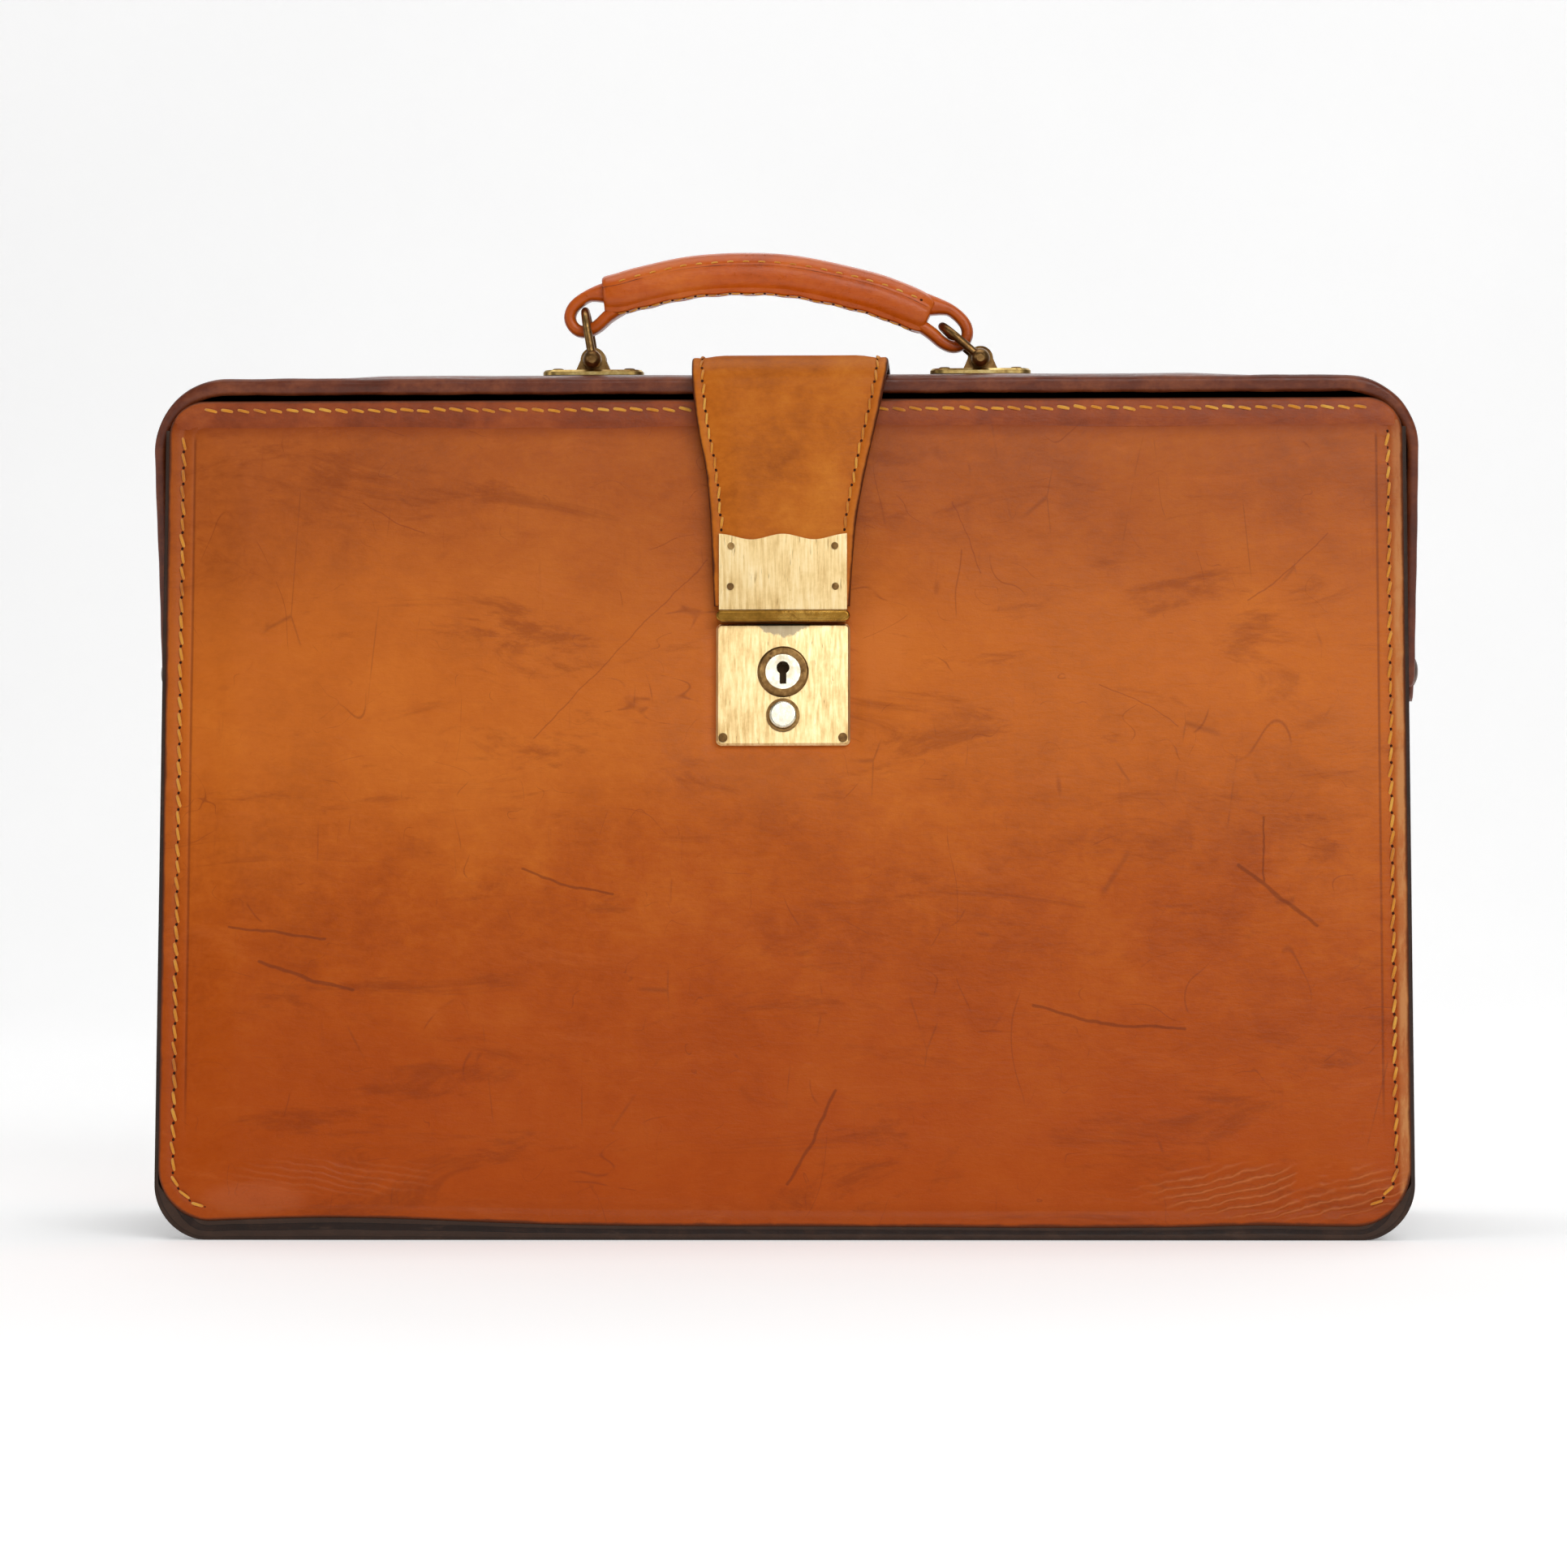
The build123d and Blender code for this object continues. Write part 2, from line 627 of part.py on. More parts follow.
with BuildPart() as strap:
    with BuildSketch(Plane.YZ):
        with BuildLine():
            zc, yc = 300.0, SY_TOP + 8.4
            zi = zc + 8.4
            zo = zi + STRAP_T
            Line((HINGE_Y - 1.0, zi), (yc, zi))
            RadiusArc((yc, zi), (SY_TOP, zc), -8.4)
            Line((SY_TOP, zc), (SY_BOT, STRAP_BOTTOM_Z))
            Line((SY_BOT, STRAP_BOTTOM_Z), (SY_BOT - STRAP_T, STRAP_BOTTOM_Z + 0.2))
            Line((SY_BOT - STRAP_T, STRAP_BOTTOM_Z + 0.2), (SY_TOP - STRAP_T, zc))
            RadiusArc((SY_TOP - STRAP_T, zc), (yc, zo), 8.4 + STRAP_T)
            Line((yc, zo), (HINGE_Y - 1.0, zo))
            Line((HINGE_Y - 1.0, zo), (HINGE_Y - 1.0, zi))
        make_face()
    extrude(amount=60, both=True)
    with BuildSketch(Plane.XZ):
        with BuildLine():
            zs_ = [STRAP_BOTTOM_Z - 1, 235.0, 250.0, 265.0, 280.0, 295.0, 316.0]
            right = [(strap_half_width(min(z, 309.0)), z) for z in zs_]
            Spline(*right)
            Line(right[-1], (-right[-1][0], right[-1][1]))
            Spline(*[(-x, z) for x, z in reversed(right)])
            Line((-right[0][0], right[0][1]), right[0])
        make_face()
    extrude(amount=80, both=True, mode=Mode.INTERSECT)
    with BuildSketch(strap_plane(1)):
        with Locations(*RIVETS):
            Circle(0.95)
    extrude(amount=-6, mode=Mode.SUBTRACT)
save(strap, "strap")

with BuildPart() as strap_anchor:
    za = HINGE_Z - 0.2 - STRAP_T
    with BuildSketch(Plane.YZ):
        with BuildLine():
            Line((HINGE_Y + 0.6, za), (HOOD_BACK - 4, za))
            RadiusArc((HOOD_BACK - 4, za), (HOOD_BACK + 2.6, za - 6.6), 6.6)
            y2 = BASE_Y - 225.0 * SA / CA + 0.6
            Line((HOOD_BACK + 2.6, za - 6.6), (y2, 225.0))
            Line((y2, 225.0), (y2 + STRAP_T, 225.2))
            Line((y2 + STRAP_T, 225.2), (HOOD_BACK + 2.6 + STRAP_T, za - 6.6))
            RadiusArc((HOOD_BACK + 2.6 + STRAP_T, za - 6.6), (HOOD_BACK - 4, za + STRAP_T), -(6.6 + STRAP_T))
            Line((HOOD_BACK - 4, za + STRAP_T), (HINGE_Y + 0.6, za + STRAP_T))
            Line((HINGE_Y + 0.6, za + STRAP_T), (HINGE_Y + 0.6, za))
        make_face()
    extrude(amount=HW_TOP - 0.4, both=True)
save(strap_anchor, "strap_anchor")

# ---------------------------------------------------------------- hasp: on the strap's end
with BuildPart() as hasp_plate:
    with BuildSketch(strap_plane(0.15)):
        with BuildLine():
            h = HASP_W / 2
            Line((-h, 0.2), (h, 0.2))
            Line((h, 0.2), (h, HASP_H))
            Spline((h, HASP_H), (h - 3.6, HASP_H - 0.5), (h - 11.4, HASP_H - 2.1), (0, HASP_H - 0.1),
                   (-h + 11.4, HASP_H - 2.1), (-h + 3.6, HASP_H - 0.5), (-h, HASP_H))
            Line((-h, HASP_H), (-h, 0.2))
        make_face()
        with Locations(*RIVETS):
            Circle(0.9, mode=Mode.SUBTRACT)
    extrude(amount=1.3)
save(hasp_plate, "hasp_plate")

with BuildPart() as hasp_lip:
    with BuildSketch(strap_plane(-1.4)):
        with Locations((0, -2.1)):
            RectangleRounded(LOCK_W, 4.1, 2.0)
    extrude(amount=4.4)
    fillet(hasp_lip.faces().sort_by(Axis.Y)[0].outer_wire().edges(), 0.9)
save(hasp_lip, "hasp_lip")

with BuildPart() as hasp_rivets:
    with BuildSketch(strap_plane(-2.2)):
        with Locations(*RIVETS):
            Circle(0.85)
    extrude(amount=3.6)
    with BuildSketch(strap_plane(1.5)):
        with Locations(*RIVETS):
            Circle(1.25)
    extrude(amount=0.5)
    with BuildSketch(strap_plane(1.39)):
        with Locations(*RIVETS):
            Circle(0.85)
    extrude(amount=0.3)
save(hasp_rivets, "hasp_rivets")

# staple: a tongue behind the lip that enters the lock through the mouth, notched on its right for the latch
with BuildPart() as hasp_staple:
    with BuildSketch(Plane.YZ.offset(-8.0)):
        with BuildLine():
            zl = STRAP_BOTTOM_Z - 3.2
            Line((SY_BOT - 1.8, zl), (SY_BOT + 9.0, zl + 1.1))
            Line((SY_BOT + 9.0, zl + 1.1), (SY_BOT + 9.0, zl + 2.7))
            Line((SY_BOT + 9.0, zl + 2.7), (SY_BOT - 1.8, zl + 3.1))
            Line((SY_BOT - 1.8, zl + 3.1), (SY_BOT - 1.8, zl))
        make_face()
    extrude(amount=16.0)
    with BuildSketch(Plane.XY.offset(STRAP_BOTTOM_Z - 12)):
        with Locations((7.0, SY_BOT + 5.2)):
            Rectangle(4.0, 3.0)
    extrude(amount=24, mode=Mode.SUBTRACT)
save(hasp_staple, "hasp_staple")

# ---------------------------------------------------------------- lock
LP0 = LOCK_S - LOCK_H / 2
CYL_S = LOCK_S + 4.5
BTN_S = LOCK_S - 11.0
with BuildPart() as lock_plate:
    with BuildSketch(front_plane(0.1)):
        with Locations((0, LOCK_S)):
            RectangleRounded(LOCK_W, LOCK_H, 2.0)
        with Locations((0, CYL_S)):
            Circle(9.12, mode=Mode.SUBTRACT)
        with Locations((0, BTN_S)):
            Circle(5.95, mode=Mode.SUBTRACT)
        with Locations((-21.2, LOCK_S - 19), (21.2, LOCK_S - 19)):
            Circle(1.2, mode=Mode.SUBTRACT)
    extrude(amount=LOCK_T)
    chamfer(lock_plate.faces().sort_by(Axis.Y)[0].outer_wire().edges(), 0.8)
save(lock_plate, "lock_plate")

with BuildPart() as lock_pins:
    with BuildSketch(front_plane(-PANEL_T - 1.7)):
        with Locations((-21.2, LOCK_S - 19), (21.2, LOCK_S - 19)):
            Circle(1.15)
    extrude(amount=PANEL_T + 1.7 + 3.1)
    with BuildSketch(front_plane(3.15)):
        with Locations((-21.2, LOCK_S - 19), (21.2, LOCK_S - 19)):
            Circle(1.6)
    extrude(amount=0.7)
    with BuildSketch(front_plane(3.05)):
        with Locations((-21.2, LOCK_S - 19), (21.2, LOCK_S - 19)):
            Circle(1.15)
    extrude(amount=0.2)
save(lock_pins, "lock_pins")

# the lock's box behind the hide: open at the mouth, bored for the barrel and the button
CASE_W, CASE_LOW, CASE_HIGH, CASE_D = 42.0, LOCK_S - 23.0, 230.6, 14.0
with BuildPart() as lock_case:
    with BuildSketch(front_plane(-PANEL_T - 0.1)):
        with Locations((0, (CASE_LOW + CASE_HIGH) / 2)):
            Rectangle(CASE_W, CASE_HIGH - CASE_LOW)
    extrude(amount=-CASE_D)
    with BuildSketch(front_plane(-PANEL_T - 1.3)):
        with Locations((0, (CASE_LOW + CASE_HIGH) / 2)):
            Rectangle(CASE_W - 2.4, CASE_HIGH - CASE_LOW - 2.4)
    extrude(amount=-(CASE_D - 1.2), mode=Mode.SUBTRACT)
    with BuildSketch(front_plane(-PANEL_T + 1)):
        with Locations((0, CYL_S)):
            Circle(8.35)
        with Locations((0, BTN_S)):
            Circle(5.0)
        with Locations((0, MOUTH_S)):
            Rectangle(20, 6.8)
        with Locations((-21.2, LOCK_S - 19), (21.2, LOCK_S - 19)):
            Circle(1.25)
    extrude(amount=-3.0, mode=Mode.SUBTRACT)
save(lock_case, "lock_case")

with BuildPart() as lock_backplate:
    with BuildSketch(front_plane(-PANEL_T - 0.15 - CASE_D)):
        with Locations((0, (CASE_LOW + CASE_HIGH) / 2)):
            RectangleRounded(CASE_W + 4, CASE_HIGH - CASE_LOW + 2, 2)
    extrude(amount=-1.0)
save(lock_backplate, "lock_backplate")

with BuildPart() as cylinder_collar:
    with BuildSketch(front_plane(-4.2)):
        with Locations((0, CYL_S)):
            Circle(8.2)
            Circle(6.27, mode=Mode.SUBTRACT)
    extrude(amount=6.2)
    with BuildSketch(front_plane(2.0)):
        with Locations((0, CYL_S)):
            Circle(9.05)
            Circle(6.27, mode=Mode.SUBTRACT)
    extrude(amount=2.3)
    front_edges = cylinder_collar.faces().sort_by(Axis.Y)[0].outer_wire().edges()
    fillet(front_edges, 0.9)
save(cylinder_collar, "cylinder_collar")

with BuildPart() as key_plug:
    with BuildSketch(front_plane(-9.5)):
        with Locations((0, CYL_S)):
            Circle(6.2)
    extrude(amount=13.4)
    with BuildSketch(front_plane(3.9)):
        with Locations((0, CYL_S + 1.4)):
            Circle(2.3)
        with Locations((0, CYL_S - 1.6)):
            Rectangle(2.4, 5.6)
    extrude(amount=-8.0, mode=Mode.SUBTRACT)
save(key_plug, "key_plug")

with BuildPart() as button_rim:
    with BuildSketch(front_plane(0.1)):
        with Locations((0, BTN_S)):
            Circle(5.9)
            Circle(4.92, mode=Mode.SUBTRACT)
    extrude(amount=3.9)
save(button_rim, "button_rim")

with BuildPart() as push_button:
    with BuildSketch(front_plane(-6.0)):
        with Locations((0, BTN_S)):
            Circle(2.2)
    extrude(amount=6.0)
    with BuildSketch(front_plane(0.0)):
        with Locations((0, BTN_S)):
            Circle(4.85)
    extrude(amount=5.6)
    fillet(push_button.faces().sort_by(Axis.Y)[0].outer_wire().edges(), 0.8)
save(push_button, "push_button")

# return spring of the button: stands on the floor of the box, round the button's stem
with BuildPart() as button_spring:
    with BuildSketch(front_plane(-PANEL_T - CASE_D)):
        with Locations((0, BTN_S)):
            Circle(4.2)
            Circle(2.9, mode=Mode.SUBTRACT)
    extrude(amount=PANEL_T + CASE_D - 0.2)
save(button_spring, "button_spring")

# latch bolt: slides sideways; its nose stands at the staple's notch, its tail beside the button's stem
with BuildPart() as latch_bolt:
    with BuildSketch(front_plane(-PANEL_T - 1.55)):
        with BuildLine():
            Polyline((8.5, 219.2), (10.6, 217.6), (10.6, BTN_S + 2.4), (5.0, BTN_S + 1.6), (5.0, BTN_S - 1.6),
                     (16.6, BTN_S - 1.6), (16.6, 223.4), (8.5, 223.4), close=True)
        make_face()
    extrude(amount=-1.8)
save(latch_bolt, "latch_bolt")

# leaf spring on the box's side wall, behind the bolt
with BuildPart() as latch_spring:
    with BuildSketch(front_plane(-PANEL_T - 1.6)):
        with Locations((19.4, 205.0)):
            Rectangle(0.5, 26.0)
    extrude(amount=-5.0)
save(latch_spring, "latch_spring")

print("pivot z", PIVOT_Z, "hinge", HINGE_Y, HINGE_Z, "tips", LT, RT, "grip", G0, G4)
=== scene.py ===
import math
import bpy
import numpy as np
from mathutils import Matrix, Vector


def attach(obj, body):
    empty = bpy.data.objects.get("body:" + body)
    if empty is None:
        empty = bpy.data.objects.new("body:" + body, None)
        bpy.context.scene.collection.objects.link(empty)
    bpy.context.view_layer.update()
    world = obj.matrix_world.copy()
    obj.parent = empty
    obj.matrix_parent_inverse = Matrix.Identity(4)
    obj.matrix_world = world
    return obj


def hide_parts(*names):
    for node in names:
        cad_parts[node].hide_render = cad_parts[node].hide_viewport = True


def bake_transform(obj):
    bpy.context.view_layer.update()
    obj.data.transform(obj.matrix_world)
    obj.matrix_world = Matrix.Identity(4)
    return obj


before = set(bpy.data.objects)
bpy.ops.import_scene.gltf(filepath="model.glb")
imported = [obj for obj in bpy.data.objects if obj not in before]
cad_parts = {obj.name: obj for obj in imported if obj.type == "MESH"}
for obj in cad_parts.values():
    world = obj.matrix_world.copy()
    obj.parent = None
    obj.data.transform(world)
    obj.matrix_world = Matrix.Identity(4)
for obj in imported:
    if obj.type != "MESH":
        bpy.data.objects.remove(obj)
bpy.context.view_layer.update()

MM = 0.001
rng = np.random.default_rng(7)

# ------------------------------------------------------------------ camera, lights and world first
scene = bpy.context.scene
cam_data = bpy.data.cameras.new("camera")
cam_data.sensor_width = 36.0
cam_data.lens = 6804.0 / 1932.0 * 36.0
cam_data.clip_end = 20.0
cam = bpy.data.objects.new("camera", cam_data)
scene.collection.objects.link(cam)
cam.matrix_world = (
    Matrix.Translation((0.0593, -2.0071, 0.1606))
    @ Matrix.Rotation(0.0303, 4, "Z")
    @ Matrix.Rotation(math.radians(90) - 0.0004, 4, "X")
    @ Matrix.Rotation(-0.0019, 4, "Z")
)
scene.camera = cam
scene.view_settings.view_transform = "Standard"


def area_light(name, loc, target, size, size_y, power, color=(1, 1, 1)):
    d = bpy.data.lights.new(name, "AREA")
    d.shape = "RECTANGLE"
    d.size, d.size_y = size, size_y
    d.energy = power
    d.color = color
    o = bpy.data.objects.new(name, d)
    scene.collection.objects.link(o)
    o.location = loc
    o.rotation_euler = (Vector(target) - Vector(loc)).to_track_quat("-Z", "Y").to_euler()
    return o


area_light("key", (0.85, -2.35, 1.40), (0, 0, 0.16), 2.2, 1.4, 38)
area_light("fill_left", (-2.4, -1.3, 0.8), (0, 0, 0.18), 1.0, 1.6, 8)
area_light("top", (0, 0.1, 2.5), (0, 0, 0.2), 2.2, 1.6, 21)
area_light("back", (0.2, 2.2, 1.6), (0, 0, 0.15), 2.2, 1.4, 12)

world = bpy.data.worlds.new("world")
scene.world = world
world.use_nodes = True
bg = world.node_tree.nodes["Background"]
bg.inputs[0].default_value = (1.0, 1.0, 1.0, 1)
bg.inputs[1].default_value = 0.16


# ------------------------------------------------------------------ node helpers
class NT:
    def __init__(self, name):
        self.mat = bpy.data.materials.new(name)
        self.mat.use_nodes = True
        self.t = self.mat.node_tree
        self.bsdf = self.t.nodes["Principled BSDF"]
        self._c = {}

    def node(self, kind, **props):
        n = self.t.nodes.new(kind)
        for k, v in props.items():
            setattr(n, k, v)
        return n

    def put(self, sock, val):
        if isinstance(val, bpy.types.NodeSocket):
            self.t.links.new(val, sock)
        elif isinstance(val, (tuple, list)):
            if len(val) == 3 and len(sock.default_value) == 4:
                val = (*val, 1.0)
            sock.default_value = val
        else:
            sock.default_value = val

    def math(self, op, a, b=0.0, clamp=False):
        n = self.node("ShaderNodeMath", operation=op, use_clamp=clamp)
        self.put(n.inputs[0], a)
        self.put(n.inputs[1], b)
        return n.outputs[0]

    def vmath(self, op, a, b=(0, 0, 0), scale=None):
        n = self.node("ShaderNodeVectorMath", operation=op)
        self.put(n.inputs[0], a)
        if scale is not None:
            self.put(n.inputs["Scale"], scale)
        else:
            self.put(n.inputs[1], b)
        return n.outputs["Value"] if op in ("DOT_PRODUCT", "LENGTH", "DISTANCE") else n.outputs["Vector"]

    def mix(self, f, a, b, blend="MIX"):
        n = self.node("ShaderNodeMix", data_type="RGBA", blend_type=blend, clamp_factor=True)
        self.put(n.inputs["Factor"], f)
        self.put(n.inputs[6], a)
        self.put(n.inputs[7], b)
        return n.outputs[2]

    def noise(self, scale, detail=3.0, rough=0.55, vec=None, dist=0.0):
        n = self.node("ShaderNodeTexNoise")
        n.inputs["Scale"].default_value = scale
        n.inputs["Detail"].default_value = detail
        n.inputs["Roughness"].default_value = rough
        n.inputs["Distortion"].default_value = dist
        self.put(n.inputs["Vector"], vec if vec is not None else self.co)
        return n.outputs[0]

    def voronoi(self, scale, vec=None, feature="F1", rand=1.0):
        n = self.node("ShaderNodeTexVoronoi", feature=feature)
        n.inputs["Scale"].default_value = scale
        n.inputs["Randomness"].default_value = rand
        self.put(n.inputs["Vector"], vec if vec is not None else self.co)
        return n.outputs["Distance"]

    def ramp(self, f, stops, interp="LINEAR"):
        n = self.node("ShaderNodeValToRGB")
        n.color_ramp.interpolation = interp
        e = n.color_ramp.elements
        while len(e) < len(stops):
            e.new(0.5)
        for el, (p, c) in zip(e, stops):
            el.position = p
            el.color = (*c, 1) if isinstance(c, (tuple, list)) else (c, c, c, 1)
        self.put(n.inputs[0], f)
        return n.outputs[0]

    def span(self, v, lo, hi, a=0.0, b=1.0, smooth=True):
        n = self.node("ShaderNodeMapRange", clamp=True, interpolation_type="SMOOTHSTEP" if smooth else "LINEAR")
        self.put(n.inputs["Value"], v)
        for i, x in ((1, lo), (2, hi), (3, a), (4, b)):
            n.inputs[i].default_value = x
        return n.outputs[0]

    def attr(self, name, out="Fac"):
        key = (name, out)
        if key not in self._c:
            n = self.node("ShaderNodeAttribute", attribute_name=name)
            self._c[key] = n.outputs[out]
        return self._c[key]

    def coords(self, own):
        """own: the rest position kept on the mesh; otherwise the CAD object's own space."""
        if own:
            self.co = self.attr("P0", "Vector")
        else:
            self.co = self.node("ShaderNodeTexCoord").outputs["Object"]
        return self.co

    def stretch(self, sx, sy, sz, rot=(0, 0, 0)):
        n = self.node("ShaderNodeMapping")
        self.put(n.inputs["Vector"], self.co)
        n.inputs["Scale"].default_value = (sx, sy, sz)
        n.inputs["Rotation"].default_value = rot
        return n.outputs[0]

    def bump(self, height, dist, strength=1.0, prev=None):
        n = self.node("ShaderNodeBump")
        n.inputs["Strength"].default_value = strength
        n.inputs["Distance"].default_value = dist
        self.put(n.inputs["Height"], height)
        if prev is not None:
            self.put(n.inputs["Normal"], prev)
        return n.outputs[0]

    def finish(self, color, rough, normal=None, metallic=0.0, spec=0.5, coat=0.0, coat_rough=0.3, sheen=0.0):
        b = self.bsdf
        self.put(b.inputs["Base Color"], color)
        self.put(b.inputs["Roughness"], rough)
        if normal is not None:
            self.put(b.inputs["Normal"], normal)
        b.inputs["Metallic"].default_value = metallic
        b.inputs["Specular IOR Level"].default_value = spec
        b.inputs["Coat Weight"].default_value = coat
        b.inputs["Coat Roughness"].default_value = coat_rough
        b.inputs["Sheen Weight"].default_value = sheen
        return self.mat


def srgb(r, g, b):
    def f(c):
        c /= 255.0
        return c / 12.92 if c <= 0.04045 else ((c + 0.055) / 1.055) ** 2.4
    return (f(r), f(g), f(b))


# ------------------------------------------------------------------ leather
def leather(name, dark, mid, light, own=True, grain=1.0, pebble=1500.0, rough=(0.36, 0.54), spec=0.5, coat=0.0,
            mottle=16.0, edge=None, bump=0.00009, extra=None, coat_rough=0.35):
    m = NT(name)
    m.coords(own)
    big = m.noise(mottle, 5, 0.6, dist=0.3)
    med = m.noise(70, 5, 0.62, dist=0.5)
    fine = m.noise(520, 4, 0.6)
    fibre = m.noise(90, 5, 0.65, vec=m.stretch(1.0, 1.0, 2.4), dist=0.8)
    v = m.math("ADD", m.math("MULTIPLY", big, 0.45), m.math("MULTIPLY", med, 0.25))
    v = m.math("ADD", v, m.math("MULTIPLY", fine, 0.12))
    v = m.math("ADD", v, m.math("MULTIPLY", fibre, 0.18))
    col = m.ramp(v, [(0.30, dark), (0.50, mid), (0.68, light)])
    # pores: tiny dark pits, and small rubbed marks
    pore = m.span(m.voronoi(pebble * 0.45), 0.0, 0.30, 1.0, 0.0)
    col = m.mix(m.math("MULTIPLY", pore, 0.16), col, dark)
    rub = m.span(m.noise(38, 8, 0.75, dist=1.2), 0.60, 0.74)
    col = m.mix(m.math("MULTIPLY", rub, 0.35), col, light)
    stain = m.span(m.noise(23, 7, 0.7, dist=0.8), 0.60, 0.75)
    col = m.mix(m.math("MULTIPLY", stain, 0.30), col, dark)
    rg = m.span(m.math("ADD", m.math("MULTIPLY", big, 0.5), m.math("MULTIPLY", fine, 0.5)), 0.35, 0.65, rough[0], rough[1])
    h = m.voronoi(pebble, feature="SMOOTH_F1")
    h = m.math("ADD", m.math("MULTIPLY", h, 0.6 * grain), m.math("MULTIPLY", m.noise(pebble * 0.35, 4, 0.65), 0.7))
    wr = m.noise(110, 5, 0.6, vec=m.stretch(1.0, 1.0, 3.5), dist=0.7)
    nrm = m.bump(h, bump, 0.55)
    nrm = m.bump(wr, 0.0006, 0.35, nrm)
    if extra:
        col, rg, nrm = extra(m, col, rg, nrm)
    if edge:
        d = m.attr("edge")
        e = m.span(m.math("ADD", d, m.math("MULTIPLY", m.math("SUBTRACT", med, 0.5), 1.6)), edge[1], edge[2], 1.0, 0.0)
        col = m.mix(e, col, edge[0])
    return m.finish(col, rg, nrm, spec=spec, coat=coat, coat_rough=coat_rough)


def seg_dist(m, p, a, b):
    """Distance from p to the segment a-b in the hide's flat coordinates."""
    d = (b[0] - a[0], b[1] - a[1], 0.0)
    l2 = d[0] ** 2 + d[1] ** 2
    rel = m.vmath("SUBTRACT", p, (a[0], a[1], 0.0))
    t = m.math("MULTIPLY", m.vmath("DOT_PRODUCT", rel, d), 1.0 / l2, clamp=True)
    return m.vmath("LENGTH", m.vmath("SUBTRACT", rel, m.vmath("SCALE", d, scale=t)))


def polyline_mask(m, p, pts, w):
    out = None
    for a, b in zip(pts[:-1], pts[1:]):
        k = m.span(seg_dist(m, p, a, b), w * 0.35, w, 1.0, 0.0)
        out = k if out is None else m.math("MAXIMUM", out, k)
    return out


# marks on the front: (points in mm across and up the hide, half width, darkness)
LIGHT_MARKS = [
    ([(-88.6, 177.4), (-66, 201), (-46, 222), (-27, 241)], 0.32),
    ([(193.0, 250.0), (185, 242), (176, 234), (164.7, 226)], 0.35),
    ([(60, 262), (66, 248), (70, 236)], 0.3),
    ([(-150, 262), (-138, 255), (-128, 251)], 0.3),
    ([(112, 196), (131, 188), (140, 181)], 0.25),
]
DARK_MARKS = [
    ([(160.4, 131.8), (172, 123), (187.6, 110.2)], 0.9),
    ([(-184.5, 98), (-168, 92), (-151.6, 88)], 0.9),
    ([(-195.9, 110.2), (-180, 108.5), (-161.6, 106)], 0.7),
    ([(169, 149), (169.4, 138), (169, 126)], 0.5),
    ([(18.7, 52.5), (11, 36), (1.6, 19.3)], 0.8),
    ([(-92, 131), (-78, 125), (-60, 122)], 0.6),
    ([(88, 82), (112, 76), (141, 74)], 0.8),
]


